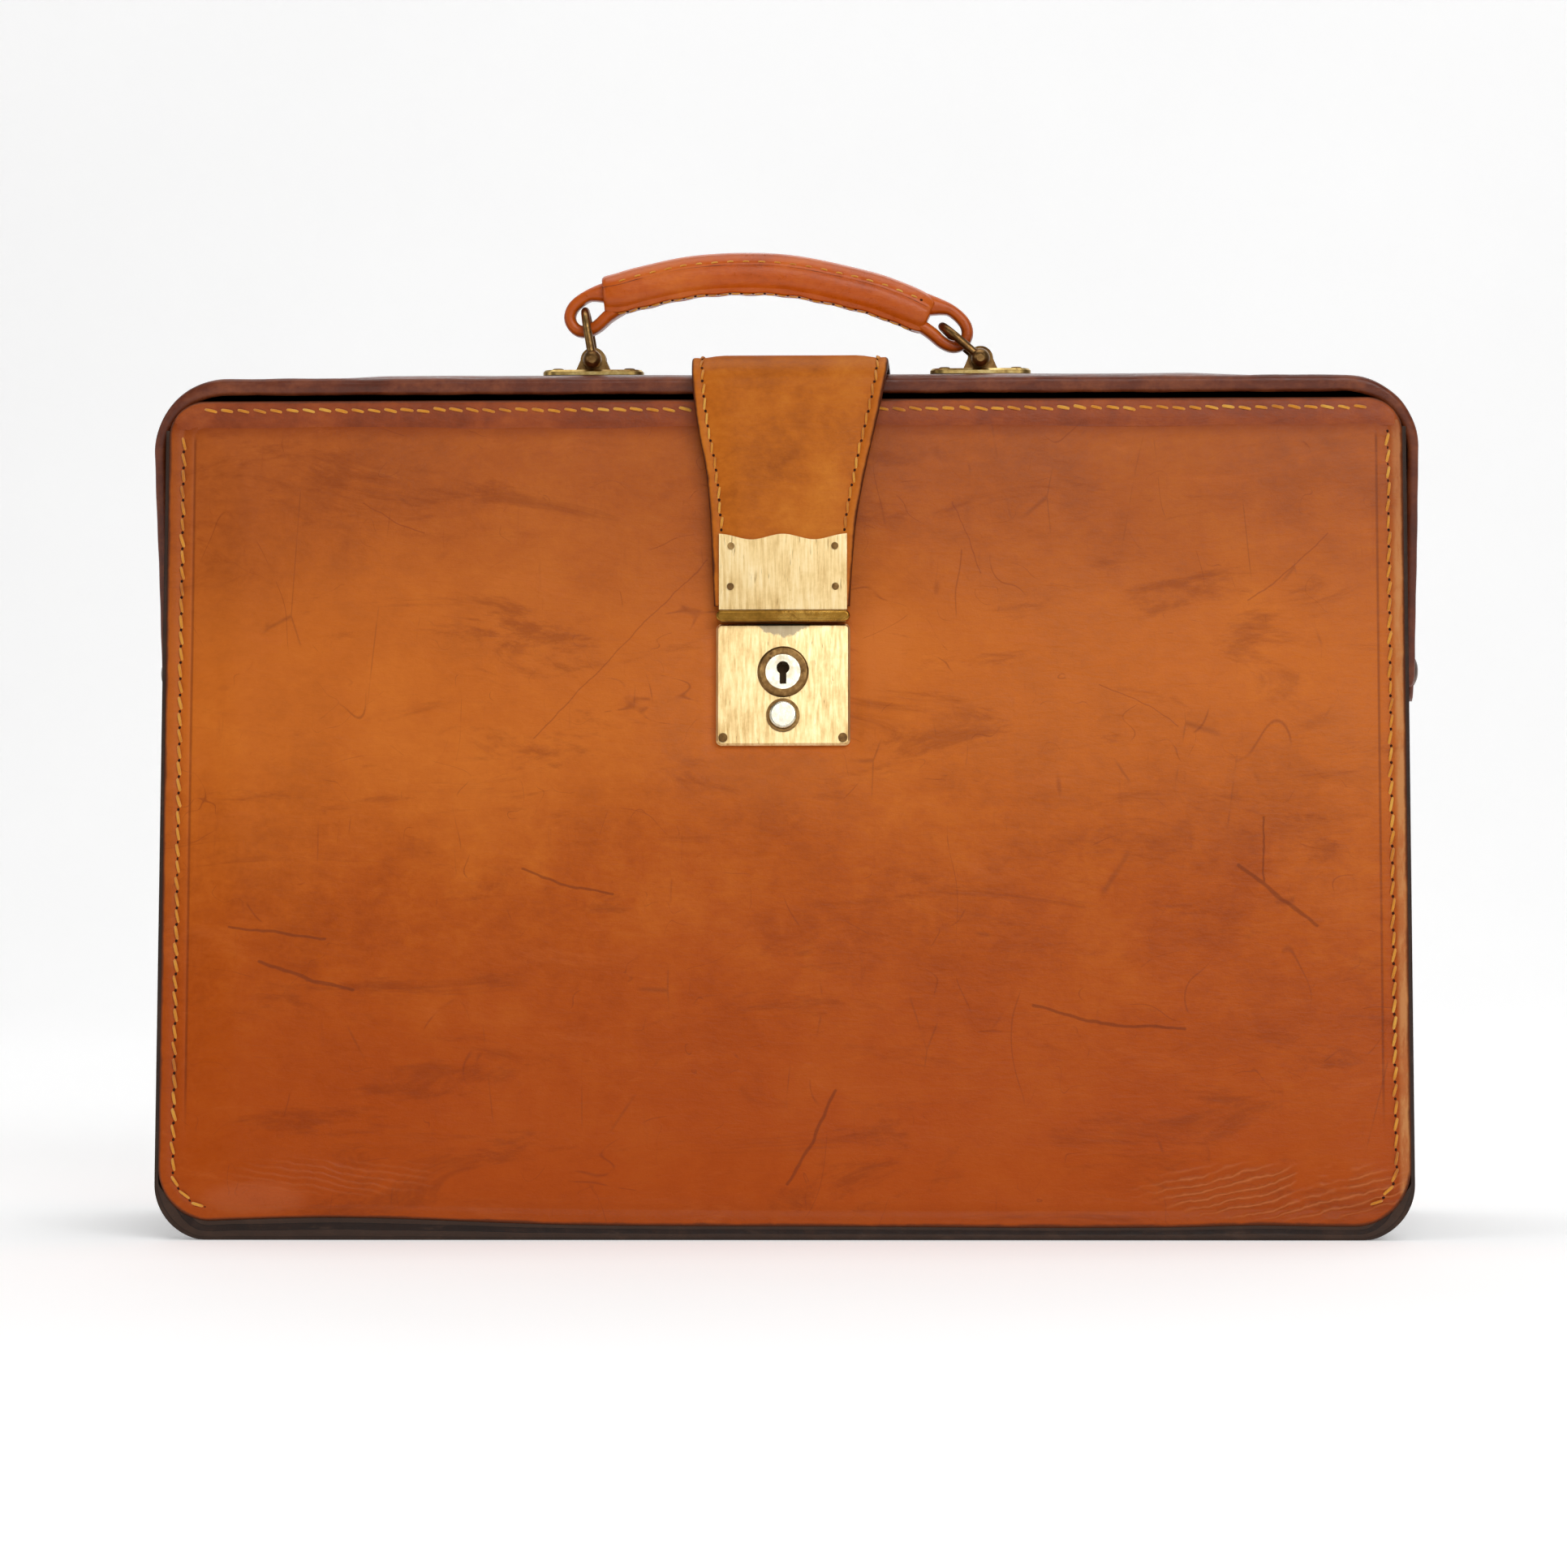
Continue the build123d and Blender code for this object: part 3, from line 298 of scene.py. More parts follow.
def front_extra(m, col, rg, nrm):
    f = m.attr("flat", "Vector")            # millimetres across and up the hide
    sx = m.node("ShaderNodeSeparateXYZ")
    m.put(sx.inputs[0], f)
    x, s = sx.outputs[0], sx.outputs[1]
    big = m.noise(9, 4, 0.6, dist=0.4)
    s2 = m.math("ADD", s, m.math("MULTIPLY", m.math("SUBTRACT", big, 0.5), 90.0))
    low = m.span(s2, 30, 175, 1.0, 0.0)     # the lower half is a deeper, more saturated orange: painted shade where the hide catches less sheen
    col = m.mix(m.math("MULTIPLY", low, 0.72), col, srgb(164, 64, 3))
    # a brighter middle band and a paler, desaturated top: painted sheen
    midz = m.math("MULTIPLY", m.span(s2, 110, 190), m.span(s2, 215, 275, 1.0, 0.0))
    col = m.mix(m.math("MULTIPLY", midz, 0.5), col, srgb(206, 112, 36))
    high = m.span(s2, 190, 292)
    col = m.mix(m.math("MULTIPLY", high, 0.45), col, srgb(156, 84, 40))
    # darker crease line inside the stitching: painted shade along the crease groove
    cr = m.math("ABSOLUTE", m.math("SUBTRACT", m.attr("edge"), 9.5))
    ck = m.math("MULTIPLY", m.span(cr, 0.15, 0.7, 0.5, 0.0), m.span(s, 34.0, 60.0))
    ck = m.math("MULTIPLY", ck, m.span(s, 284.0, 288.0, 1.0, 0.0))
    col = m.mix(ck, col, srgb(96, 38, 12))
    # darker along the hide's top, just under the binding: painted shade
    top = m.span(m.math("ADD", s, m.math("MULTIPLY", m.math("SUBTRACT", m.noise(70, 4, 0.6), 0.5), 5.0)), 284.0, 291.0)
    col = m.mix(m.math("MULTIPLY", top, 0.8), col, srgb(134, 56, 14))
    edge_dark = m.span(m.attr("edge"), 0.5, 11.0, 1.0, 0.0)
    col = m.mix(m.math("MULTIPLY", edge_dark, 0.28), col, srgb(140, 62, 18))
    # rubbed orange patch beside the lock
    dx = m.math("MULTIPLY", m.math("SUBTRACT", x, 34.0), 1 / 13.0)
    ds = m.math("MULTIPLY", m.math("SUBTRACT", s, 208.0), 1 / 22.0)
    r = m.math("SQRT", m.math("ADD", m.math("MULTIPLY", dx, dx), m.math("MULTIPLY", ds, ds)))
    r = m.math("ADD", r, m.math("MULTIPLY", m.math("SUBTRACT", m.noise(90, 4, 0.6), 0.5), 1.1))
    col = m.mix(m.span(r, 0.35, 1.15, 0.55, 0.0), col, srgb(205, 112, 42))
    # long faint horizontal streaks from wear
    streak = m.noise(20, 7, 0.72, vec=m.stretch(0.6, 1.0, 2.2), dist=0.9)
    col = m.mix(m.span(streak, 0.53, 0.68, 0.0, 0.42), col, srgb(120, 46, 8))
    col = m.mix(m.span(streak, 0.30, 0.44, 0.22, 0.0), col, srgb(200, 104, 44))
    vstr = m.noise(60, 5, 0.7, vec=m.stretch(5.0, 1.0, 0.6), dist=0.3)
    col = m.mix(m.span(vstr, 0.60, 0.74, 0.0, 0.18), col, srgb(140, 60, 20))
    # wandering coordinates keep the drawn marks from looking ruled
    wob = m.node("ShaderNodeTexNoise")
    wob.inputs["Scale"].default_value = 120
    m.put(wob.inputs["Vector"], m.co)
    fw = m.vmath("ADD", f, m.vmath("SCALE", m.vmath("SUBTRACT", wob.outputs["Color"], (0.5, 0.5, 0.5)), scale=2.2))
    flat2 = m.vmath("MULTIPLY", fw, (1, 1, 0))
    lm = None
    for pts, w in LIGHT_MARKS:
        k = polyline_mask(m, flat2, pts, w)
        lm = k if lm is None else m.math("MAXIMUM", lm, k)
    dm = None
    for pts, w in DARK_MARKS:
        k = polyline_mask(m, flat2, pts, w)
        dm = k if dm is None else m.math("MAXIMUM", dm, k)
    col = m.mix(m.math("MULTIPLY", lm, 0.45), col, srgb(128, 54, 22))
    col = m.mix(m.math("MULTIPLY", dm, 0.5), col, srgb(96, 40, 18))
    # fine random scratches
    sc = m.voronoi(34, vec=m.stretch(1.0, 1.0, 0.25, (0, 0.7, 0)), feature="DISTANCE_TO_EDGE")
    gate = m.span(m.noise(30, 3, 0.5), 0.58, 0.66)
    scr = m.math("MULTIPLY", m.span(sc, 0.0, 0.012, 1.0, 0.0), gate)
    col = m.mix(m.math("MULTIPLY", scr, 0.35), col, srgb(110, 50, 24))
    hair = None
    for sc_, vec_, lo_ in ((16, (1.0, 1.0, 0.45), 0.47), (22, (0.4, 1.0, 1.0), 0.53), (34, (1.0, 1.0, 1.0), 0.50)):
        hn = m.noise(sc_, 2, 0.5, vec=m.stretch(*vec_, (0, lo_ * 3.0, 0)), dist=0.15)
        hl = m.span(m.math("ABSOLUTE", m.math("SUBTRACT", hn, lo_)), 0.0, 0.0022, 1.0, 0.0)
        hl = m.math("MULTIPLY", hl, m.span(m.noise(sc_ * 2.3, 3, 0.6), 0.52, 0.60))
        hair = hl if hair is None else m.math("MAXIMUM", hair, hl)
    col = m.mix(m.math("MULTIPLY", hair, 0.42), col, srgb(118, 48, 18))
    nrm = m.bump(m.math("ADD", m.math("ADD", lm, hair), m.math("ADD", dm, scr)), 0.0003, -0.6, nrm)

    def patch(cx, cs, wx, ws):
        a = m.math("MULTIPLY", m.math("SUBTRACT", x, cx), 1.0 / wx)
        b = m.math("MULTIPLY", m.math("SUBTRACT", s, cs), 1.0 / ws)
        d2 = m.math("ADD", m.math("MULTIPLY", a, a), m.math("MULTIPLY", b, b))
        return m.span(m.math("ADD", d2, m.math("MULTIPLY", m.math("SUBTRACT", m.noise(45, 3, 0.6), 0.5), 1.2)), 0.25, 1.35, 1.0, 0.0)

    wn = m.math("MULTIPLY", m.noise(30, 4, 0.65), 20.0)
    gap = m.span(m.noise(48, 3, 0.6), 0.33, 0.50)
    k1 = m.math("MULTIPLY", patch(176, 17, 50, 10), gap)
    ph = m.math("ADD", m.math("MULTIPLY", m.math("SUBTRACT", s, m.math("MULTIPLY", x, 0.27)), 2.05), wn)
    r1 = m.math("POWER", m.math("ADD", m.math("MULTIPLY", m.math("SINE", ph), 0.5), 0.5), 3.0)
    k2 = m.math("MULTIPLY", patch(-158, 22, 40, 7), gap)
    ph = m.math("ADD", m.math("MULTIPLY", m.math("ADD", s, m.math("MULTIPLY", x, 0.16)), 2.6), wn)
    r2 = m.math("POWER", m.math("ADD", m.math("MULTIPLY", m.math("SINE", ph), 0.5), 0.5), 3.0)
    fold = m.math("ADD", m.math("MULTIPLY", k1, r1), m.math("MULTIPLY", m.math("MULTIPLY", k2, r2), 0.25))
    # lighter fold ridges are a painted highlight and the darker troughs between them painted shade; the bump gives the
    # folds' relief
    col = m.mix(m.math("MULTIPLY", fold, 0.32), col, srgb(216, 136, 84))
    col = m.mix(m.math("MULTIPLY", m.math("MULTIPLY", k1, m.math("SUBTRACT", 1.0, r1)), 0.18), col, srgb(120, 46, 12))
    nrm = m.bump(fold, 0.0006, 0.8, nrm)
    raw = m.math("MULTIPLY", m.span(x, 215.2, 217.4), m.span(s, 210.0, 285.0, 1.0, 0.45))
    raw = m.math("MULTIPLY", raw, m.span(m.noise(240, 4, 0.7, vec=m.stretch(1.0, 1.0, 0.25)), 0.36, 0.60, 0.35, 0.85))
    col = m.mix(raw, col, srgb(196, 134, 78))
    # pale patch on the bulge at the lower left: painted highlight, with a little less roughness there
    bulge_highlight = patch(-185, 15, 19, 6)
    col = m.mix(m.math("MULTIPLY", bulge_highlight, 0.14), col, srgb(206, 124, 84))
    rg = m.math("SUBTRACT", rg, m.math("MULTIPLY", bulge_highlight, 0.08))
    rg = m.math("ADD", rg, m.math("MULTIPLY", dm, 0.12))
    return col, rg, nrm


TAN_EDGE = (srgb(92, 44, 20), 0.3, 1.4)
M_FRONT = leather("front_hide_leather", srgb(130, 52, 5), srgb(178, 84, 14), srgb(202, 108, 28), edge=TAN_EDGE,
                  extra=front_extra, rough=(0.33, 0.46), spec=0.14, coat=0.0)
M_TAN = leather("back_hide_leather", srgb(124, 50, 14), srgb(170, 80, 26), srgb(196, 104, 42), edge=TAN_EDGE,
                rough=(0.38, 0.52), spec=0.30)
M_BAND = leather("band_leather", srgb(104, 40, 8), srgb(142, 61, 16), srgb(172, 84, 26), edge=TAN_EDGE,
                 rough=(0.38, 0.52), mottle=40, spec=0.28)
M_STRAP = leather("strap_leather", srgb(136, 64, 10), srgb(184, 98, 20), srgb(206, 122, 36), rough=(0.38, 0.5),
                  mottle=38, edge=(srgb(80, 36, 14), 0.25, 1.2), spec=0.14)
M_DARK = leather("gusset_leather", srgb(26, 15, 11), srgb(50, 30, 22), srgb(84, 56, 42), rough=(0.42, 0.62), coat=0.05,
                 mottle=30)
M_FRAME = leather("frame_leather", srgb(52, 20, 9), srgb(98, 42, 18), srgb(142, 74, 38), rough=(0.28, 0.46),
                  mottle=45, spec=0.36, bump=0.00006)
M_HANDLE = leather("handle_leather", srgb(150, 58, 4), srgb(194, 86, 12), srgb(214, 110, 28), rough=(0.26, 0.40),
                   mottle=34, coat=0.08, coat_rough=0.25, spec=0.3, bump=0.00006, edge=(srgb(96, 40, 16), 0.15, 0.6))


def layers_extra(m, col, rg, nrm):
    """Cut edges of the stacked seam: each layer a shade apart, with dark cracks between."""
    k = m.attr("layer")
    w = m.math("ADD", k, m.math("MULTIPLY", m.math("SUBTRACT", m.noise(60, 4, 0.6), 0.5), 0.55))
    f = m.math("FRACT", w)
    crack = m.math("MAXIMUM", m.span(f, 0.0, 0.12, 1.0, 0.0), m.span(f, 0.88, 1.0))
    col = m.mix(m.math("MULTIPLY", crack, 0.8), col, srgb(16, 9, 7))
    lit = m.span(m.math("SINE", m.math("MULTIPLY", m.math("FLOOR", w), 2.4)), -1, 1, 0.0, 0.22, smooth=False)
    col = m.mix(lit, col, srgb(104, 78, 62))
    scuff = m.span(m.noise(300, 5, 0.7, vec=m.stretch(0.2, 1, 1)), 0.55, 0.75, 0.0, 0.3)
    col = m.mix(scuff, col, srgb(96, 70, 54))
    nrm = m.bump(crack, 0.0005, -0.9, nrm)
    return col, rg, nrm


M_WELT = leather("welt_leather", srgb(20, 12, 9), srgb(42, 28, 22), srgb(70, 50, 39), rough=(0.5, 0.7), spec=0.2,
                 mottle=60, extra=layers_extra)


def thread_material():
    m = NT("linen_thread")
    m.coords(True)
    a = m.attr("along")
    tw = m.math("SINE", m.math("MULTIPLY", a, 26.0))
    n = m.noise(900, 3, 0.6)
    col = m.ramp(m.noise(55, 3, 0.6), [(0.3, srgb(200, 112, 14)), (0.5, srgb(244, 160, 34)), (0.72, srgb(254, 194, 78))])
    # darker where the twist turns inward: painted shade in the twist grooves
    col = m.mix(m.span(tw, -1, 0.2, 0.25, 0.0), col, srgb(150, 74, 12))
    h = m.math("ADD", m.math("MULTIPLY", tw, 0.6), n)
    return m.finish(col, 0.55, m.bump(h, 0.00015, 0.6), spec=0.35, sheen=0.2)


M_THREAD = thread_material()


# stitch holes coloured dark: painted shade inside the holes
def hole_shade_material():
    m = NT("stitch_hole_painted_shade")
    m.coords(True)
    col = m.ramp(m.noise(400, 3), [(0.3, srgb(30, 12, 6)), (0.7, srgb(70, 30, 12))])
    return m.finish(col, 0.8, m.bump(m.noise(900, 3), 0.0001, 0.5), spec=0.2)


M_HOLE_SHADE = hole_shade_material()


# ------------------------------------------------------------------ metal
def plate_wear(m, col, rg):
    """Fine vertical brushing with dark nicks, and the patch the hasp's lip has rubbed bare."""
    nick = m.noise(520, 2, 0.5, vec=m.stretch(2.6, 2.6, 0.16))
    nick = m.math("MULTIPLY", m.span(nick, 0.66, 0.74), m.span(m.noise(70, 3, 0.6), 0.42, 0.6))
    col = m.mix(m.math("MULTIPLY", nick, 0.75), col, srgb(128, 92, 48))
    sp = m.node("ShaderNodeSeparateXYZ")
    m.put(sp.inputs[0], m.co)
    x = m.math("MULTIPLY", sp.outputs[0], 1000.0 / 10.5)
    z = m.math("MULTIPLY", m.math("SUBTRACT", 216.6, m.math("MULTIPLY", sp.outputs[2], 1000.0)), 1.0 / 5.2)
    r = m.math("ADD", m.math("MULTIPLY", x, x), m.math("MULTIPLY", z, 1.0))
    r = m.math("ADD", r, m.math("MULTIPLY", m.math("SUBTRACT", m.noise(420, 4, 0.7), 0.5), 0.9))
    below = m.span(sp.outputs[2], 0.2168, 0.2172, 1.0, 0.0)
    k = m.math("MULTIPLY", m.span(r, 0.75, 1.0, 1.0, 0.0), below)
    k = m.math("MULTIPLY", k, m.span(sp.outputs[2], 0.2085, 0.2095))
    col = m.mix(m.math("MULTIPLY", k, 0.85), col, srgb(150, 136, 112))
    return col, rg


def metal(name, dark, mid, light, own=False, rough=(0.2, 0.42), wear=0.5, brushed=(1, 1, 1), tarnish=None, bump=0.00004,
          lines_mix=0.25, extra=None):
    m = NT(name)
    m.coords(own)
    big = m.noise(45, 6, 0.65, dist=0.6)
    fine = m.noise(700, 3, 0.6)
    lines = m.noise(420, 4, 0.6, vec=m.stretch(*brushed))
    v = m.math("ADD", m.math("MULTIPLY", big, 0.6), m.math("MULTIPLY", fine, 0.15))
    v = m.math("ADD", m.math("MULTIPLY", v, (1 - lines_mix) / 0.75), m.math("MULTIPLY", lines, lines_mix))
    col = m.ramp(v, [(0.32, dark), (0.5, mid), (0.66, light)])
    rg = m.span(v, 0.3, 0.7, rough[1], rough[0])
    if tarnish:
        t = m.span(m.noise(130, 7, 0.72, dist=1.0), 0.52, 0.68, 0.0, wear)
        col = m.mix(t, col, tarnish)
        rg = m.math("ADD", rg, m.math("MULTIPLY", t, 0.25))
    pits = m.span(m.voronoi(420), 0.0, 0.16, 1.0, 0.0)
    pits = m.math("MULTIPLY", pits, m.span(m.noise(60, 3), 0.5, 0.62))
    col = m.mix(m.math("MULTIPLY", pits, 0.5), col, dark)
    if extra:
        col, rg = extra(m, col, rg)
    h = m.math("SUBTRACT", m.math("ADD", m.math("MULTIPLY", lines, 0.6), m.math("MULTIPLY", big, 0.8)), pits)
    return m.finish(col, rg, m.bump(h, bump, 0.6), metallic=1.0, spec=0.5)


M_BRASS = metal("satin_brass", srgb(196, 158, 98), srgb(234, 204, 146), srgb(248, 226, 178), rough=(0.30, 0.42),
                brushed=(2.2, 2.2, 0.10), tarnish=srgb(190, 150, 90), wear=0.12, lines_mix=0.55, extra=plate_wear)
M_AGED = metal("aged_brass", srgb(70, 46, 26), srgb(122, 90, 52), srgb(178, 142, 88), rough=(0.28, 0.5),
               tarnish=srgb(58, 36, 24), wear=0.7)
M_PLATE = metal("worn_plate_brass", srgb(112, 82, 40), srgb(196, 166, 100), srgb(244, 226, 166), rough=(0.26, 0.42),
                tarnish=srgb(92, 62, 32), wear=0.65)
M_LIP = metal("lip_brass", srgb(92, 60, 16), srgb(150, 108, 42), srgb(196, 154, 76), rough=(0.2, 0.36),
              brushed=(0.1, 1, 1), tarnish=srgb(84, 52, 18), wear=0.6)
M_NICKEL = metal("worn_nickel", srgb(176, 166, 138), srgb(222, 216, 196), srgb(246, 243, 230), rough=(0.18, 0.34),
                 tarnish=srgb(196, 170, 112), wear=0.4)
M_STEEL = metal("plain_steel", srgb(92, 90, 86), srgb(142, 140, 134), srgb(190, 188, 182), rough=(0.28, 0.46),
                tarnish=srgb(96, 78, 60), wear=0.4)
M_BLACK = leather("japanned_steel", srgb(4, 3, 3), srgb(8, 6, 5), srgb(16, 12, 10), own=False, rough=(0.75, 0.9), spec=0.03,
                  bump=0.00002)
M_STUD = metal("bronzed_stud", srgb(56, 36, 26), srgb(92, 66, 48), srgb(140, 112, 88), rough=(0.26, 0.42),
               tarnish=srgb(44, 28, 20), wear=0.5)


def cloth_material():
    m = NT("lining_twill")
    m.coords(True)
    w = m.node("ShaderNodeTexWave", wave_type="BANDS", bands_direction="DIAGONAL")
    w.inputs["Scale"].default_value = 700
    m.put(w.inputs["Vector"], m.co)
    col = m.ramp(m.noise(40, 5, 0.6), [(0.3, srgb(70, 52, 36)), (0.7, srgb(108, 84, 58))])
    col = m.mix(m.math("MULTIPLY", w.outputs[1], 0.3), col, srgb(52, 38, 26))
    return m.finish(col, 0.85, m.bump(w.outputs[1], 0.0001, 0.6), spec=0.2, sheen=0.3)


M_CLOTH = cloth_material()


def board_material():
    m = NT("fibre_board")
    m.coords(False)
    col = m.ramp(m.noise(200, 5, 0.7), [(0.3, srgb(84, 62, 42)), (0.7, srgb(128, 100, 72))])
    return m.finish(col, 0.9, m.bump(m.noise(900, 4), 0.0002, 0.5), spec=0.2)


M_BOARD = board_material()


# ------------------------------------------------------------------ mesh helpers
def make_mesh(name, verts, faces, mats, smooth=True, attrs=None, face_mats=None, rest=None):
    me = bpy.data.meshes.new(name)
    v = np.asarray(verts, float) * MM
    me.from_pydata(v.tolist(), [], [tuple(int(i) for i in f) for f in faces])
    me.validate()
    me.update()
    for m_ in mats if isinstance(mats, (list, tuple)) else [mats]:
        me.materials.append(m_)
    if face_mats is not None:
        me.polygons.foreach_set("material_index", np.asarray(face_mats, np.int32))
    me.polygons.foreach_set("use_smooth", [smooth] * len(me.polygons))
    p0 = me.attributes.new("P0", "FLOAT_VECTOR", "POINT")
    p0.data.foreach_set("vector", (v if rest is None else np.asarray(rest, float) * MM).astype(np.float32).ravel())
    for k, a in (attrs or {}).items():
        a = np.asarray(a, np.float32)
        if a.ndim == 1:
            me.attributes.new(k, "FLOAT", "POINT").data.foreach_set("value", a)
        else:
            me.attributes.new(k, "FLOAT_VECTOR", "POINT").data.foreach_set("vector", a.ravel())
    o = bpy.data.objects.new(name, me)
    scene.collection.objects.link(o)
    return o


def shell_faces(nu, nv):
    """Faces of a closed shell: grid 0 (outer), grid 1 (inner), joined round the rim."""
    f = []
    n = nu * nv
    i, j = np.meshgrid(np.arange(nu - 1), np.arange(nv - 1), indexing="ij")
    a = (i * nv + j).ravel()
    outer = np.stack([a, a + nv, a + nv + 1, a + 1], 1)
    inner = np.stack([a + n, a + n + 1, a + n + nv + 1, a + n + nv], 1)
    rim = ([k * nv for k in range(nu)] + [(nu - 1) * nv + k for k in range(1, nv)]
           + [k * nv + nv - 1 for k in range(nu - 2, -1, -1)] + [k for k in range(nv - 2, 0, -1)])
    r = np.array(rim)
    r2 = np.roll(r, -1)
    side = np.stack([r, r + n, r2 + n, r2], 1)
    return np.concatenate([outer, inner, side])


def shell(name, P, Q, mats, attrs=None, hole=None):
    """hole: a mask over the grid's cells that are cut away through both skins."""
    nu, nv = P.shape[:2]
    faces = shell_faces(nu, nv)
    if hole is not None:
        nc = (nu - 1) * (nv - 1)
        keep = ~hole.ravel()
        walls = []
        n = nu * nv
        for i, j in zip(*np.nonzero(hole)):
            for di, dj, a, b in ((-1, 0, (i, j), (i, j + 1)), (1, 0, (i + 1, j), (i + 1, j + 1)),
                                 (0, -1, (i, j), (i + 1, j)), (0, 1, (i, j + 1), (i + 1, j + 1))):
                if not hole[i + di, j + dj]:
                    p, q = a[0] * nv + a[1], b[0] * nv + b[1]
                    walls.append((p, q, q + n, p + n))
        faces = np.concatenate([faces[:nc][keep], faces[nc:2 * nc][keep], faces[2 * nc:], np.array(walls)])
    verts = np.concatenate([P.reshape(-1, 3), Q.reshape(-1, 3)])
    at = {k: np.concatenate([a[0].reshape(-1, *a[0].shape[2:]), a[1].reshape(-1, *a[1].shape[2:])])
          for k, a in (attrs or {}).items()}
    o = make_mesh(name, verts, faces, mats, attrs=at)
    fix_normals(o)
    return o


def fix_normals(o):
    import bmesh
    bm = bmesh.new()
    bm.from_mesh(o.data)
    bmesh.ops.recalc_face_normals(bm, faces=bm.faces)
    bm.to_mesh(o.data)
    bm.free()


def tube(name, rings, mats, attrs=None, closed=False):
    """rings: n x m x 3, each ring a closed loop; ends capped with a fan unless closed."""
    n, m_ = rings.shape[:2]
    verts = rings.reshape(-1, 3)
    f = []
    for i in range(n if closed else n - 1):
        k = (i + 1) % n
        j = np.arange(m_)
        j2 = (j + 1) % m_
        f.append(np.stack([i * m_ + j, i * m_ + j2, k * m_ + j2, k * m_ + j], 1))
    faces = [tuple(x) for x in np.concatenate(f)]
    at = {k: np.asarray(a).reshape(n * m_, *np.asarray(a).shape[2:]) for k, a in (attrs or {}).items()}
    if not closed:
        c0, c1 = rings[0].mean(0), rings[-1].mean(0)
        verts = np.concatenate([verts, [c0, c1]])
        b = n * m_
        for j in range(m_):
            faces.append((j, b, (j + 1) % m_))
            faces.append(((n - 1) * m_ + (j + 1) % m_, b + 1, (n - 1) * m_ + j))
        for k in at:
            at[k] = np.concatenate([at[k], at[k][:1], at[k][-1:]])
    o = make_mesh(name, verts, faces, mats, attrs=at)
    fix_normals(o)
    return o


def smooth_path(pts, n):
    """Catmull-Rom through pts, resampled to n even points."""
    p = np.asarray(pts, float)
    q = np.concatenate([[2 * p[0] - p[1]], p, [2 * p[-1] - p[-2]]])
    out = []
    for i in range(1, len(q) - 2):
        t = np.linspace(0, 1, 40, endpoint=False)[:, None]
        a, b, c, d = q[i - 1], q[i], q[i + 1], q[i + 2]
        out.append(0.5 * (2 * b + (c - a) * t + (2 * a - 5 * b + 4 * c - d) * t ** 2 + (3 * b - a - 3 * c + d) * t ** 3))
    out = np.concatenate(out + [p[-1:]])
    return resample(out, n)


def resample(p, n):
    d = np.concatenate([[0], np.cumsum(np.linalg.norm(np.diff(p, axis=0), axis=1))])
    t = np.linspace(0, d[-1], n)
    return np.stack([np.interp(t, d, p[:, k]) for k in range(p.shape[1])], 1)


def path_len(p):
    return float(np.linalg.norm(np.diff(p, axis=0), axis=1).sum())


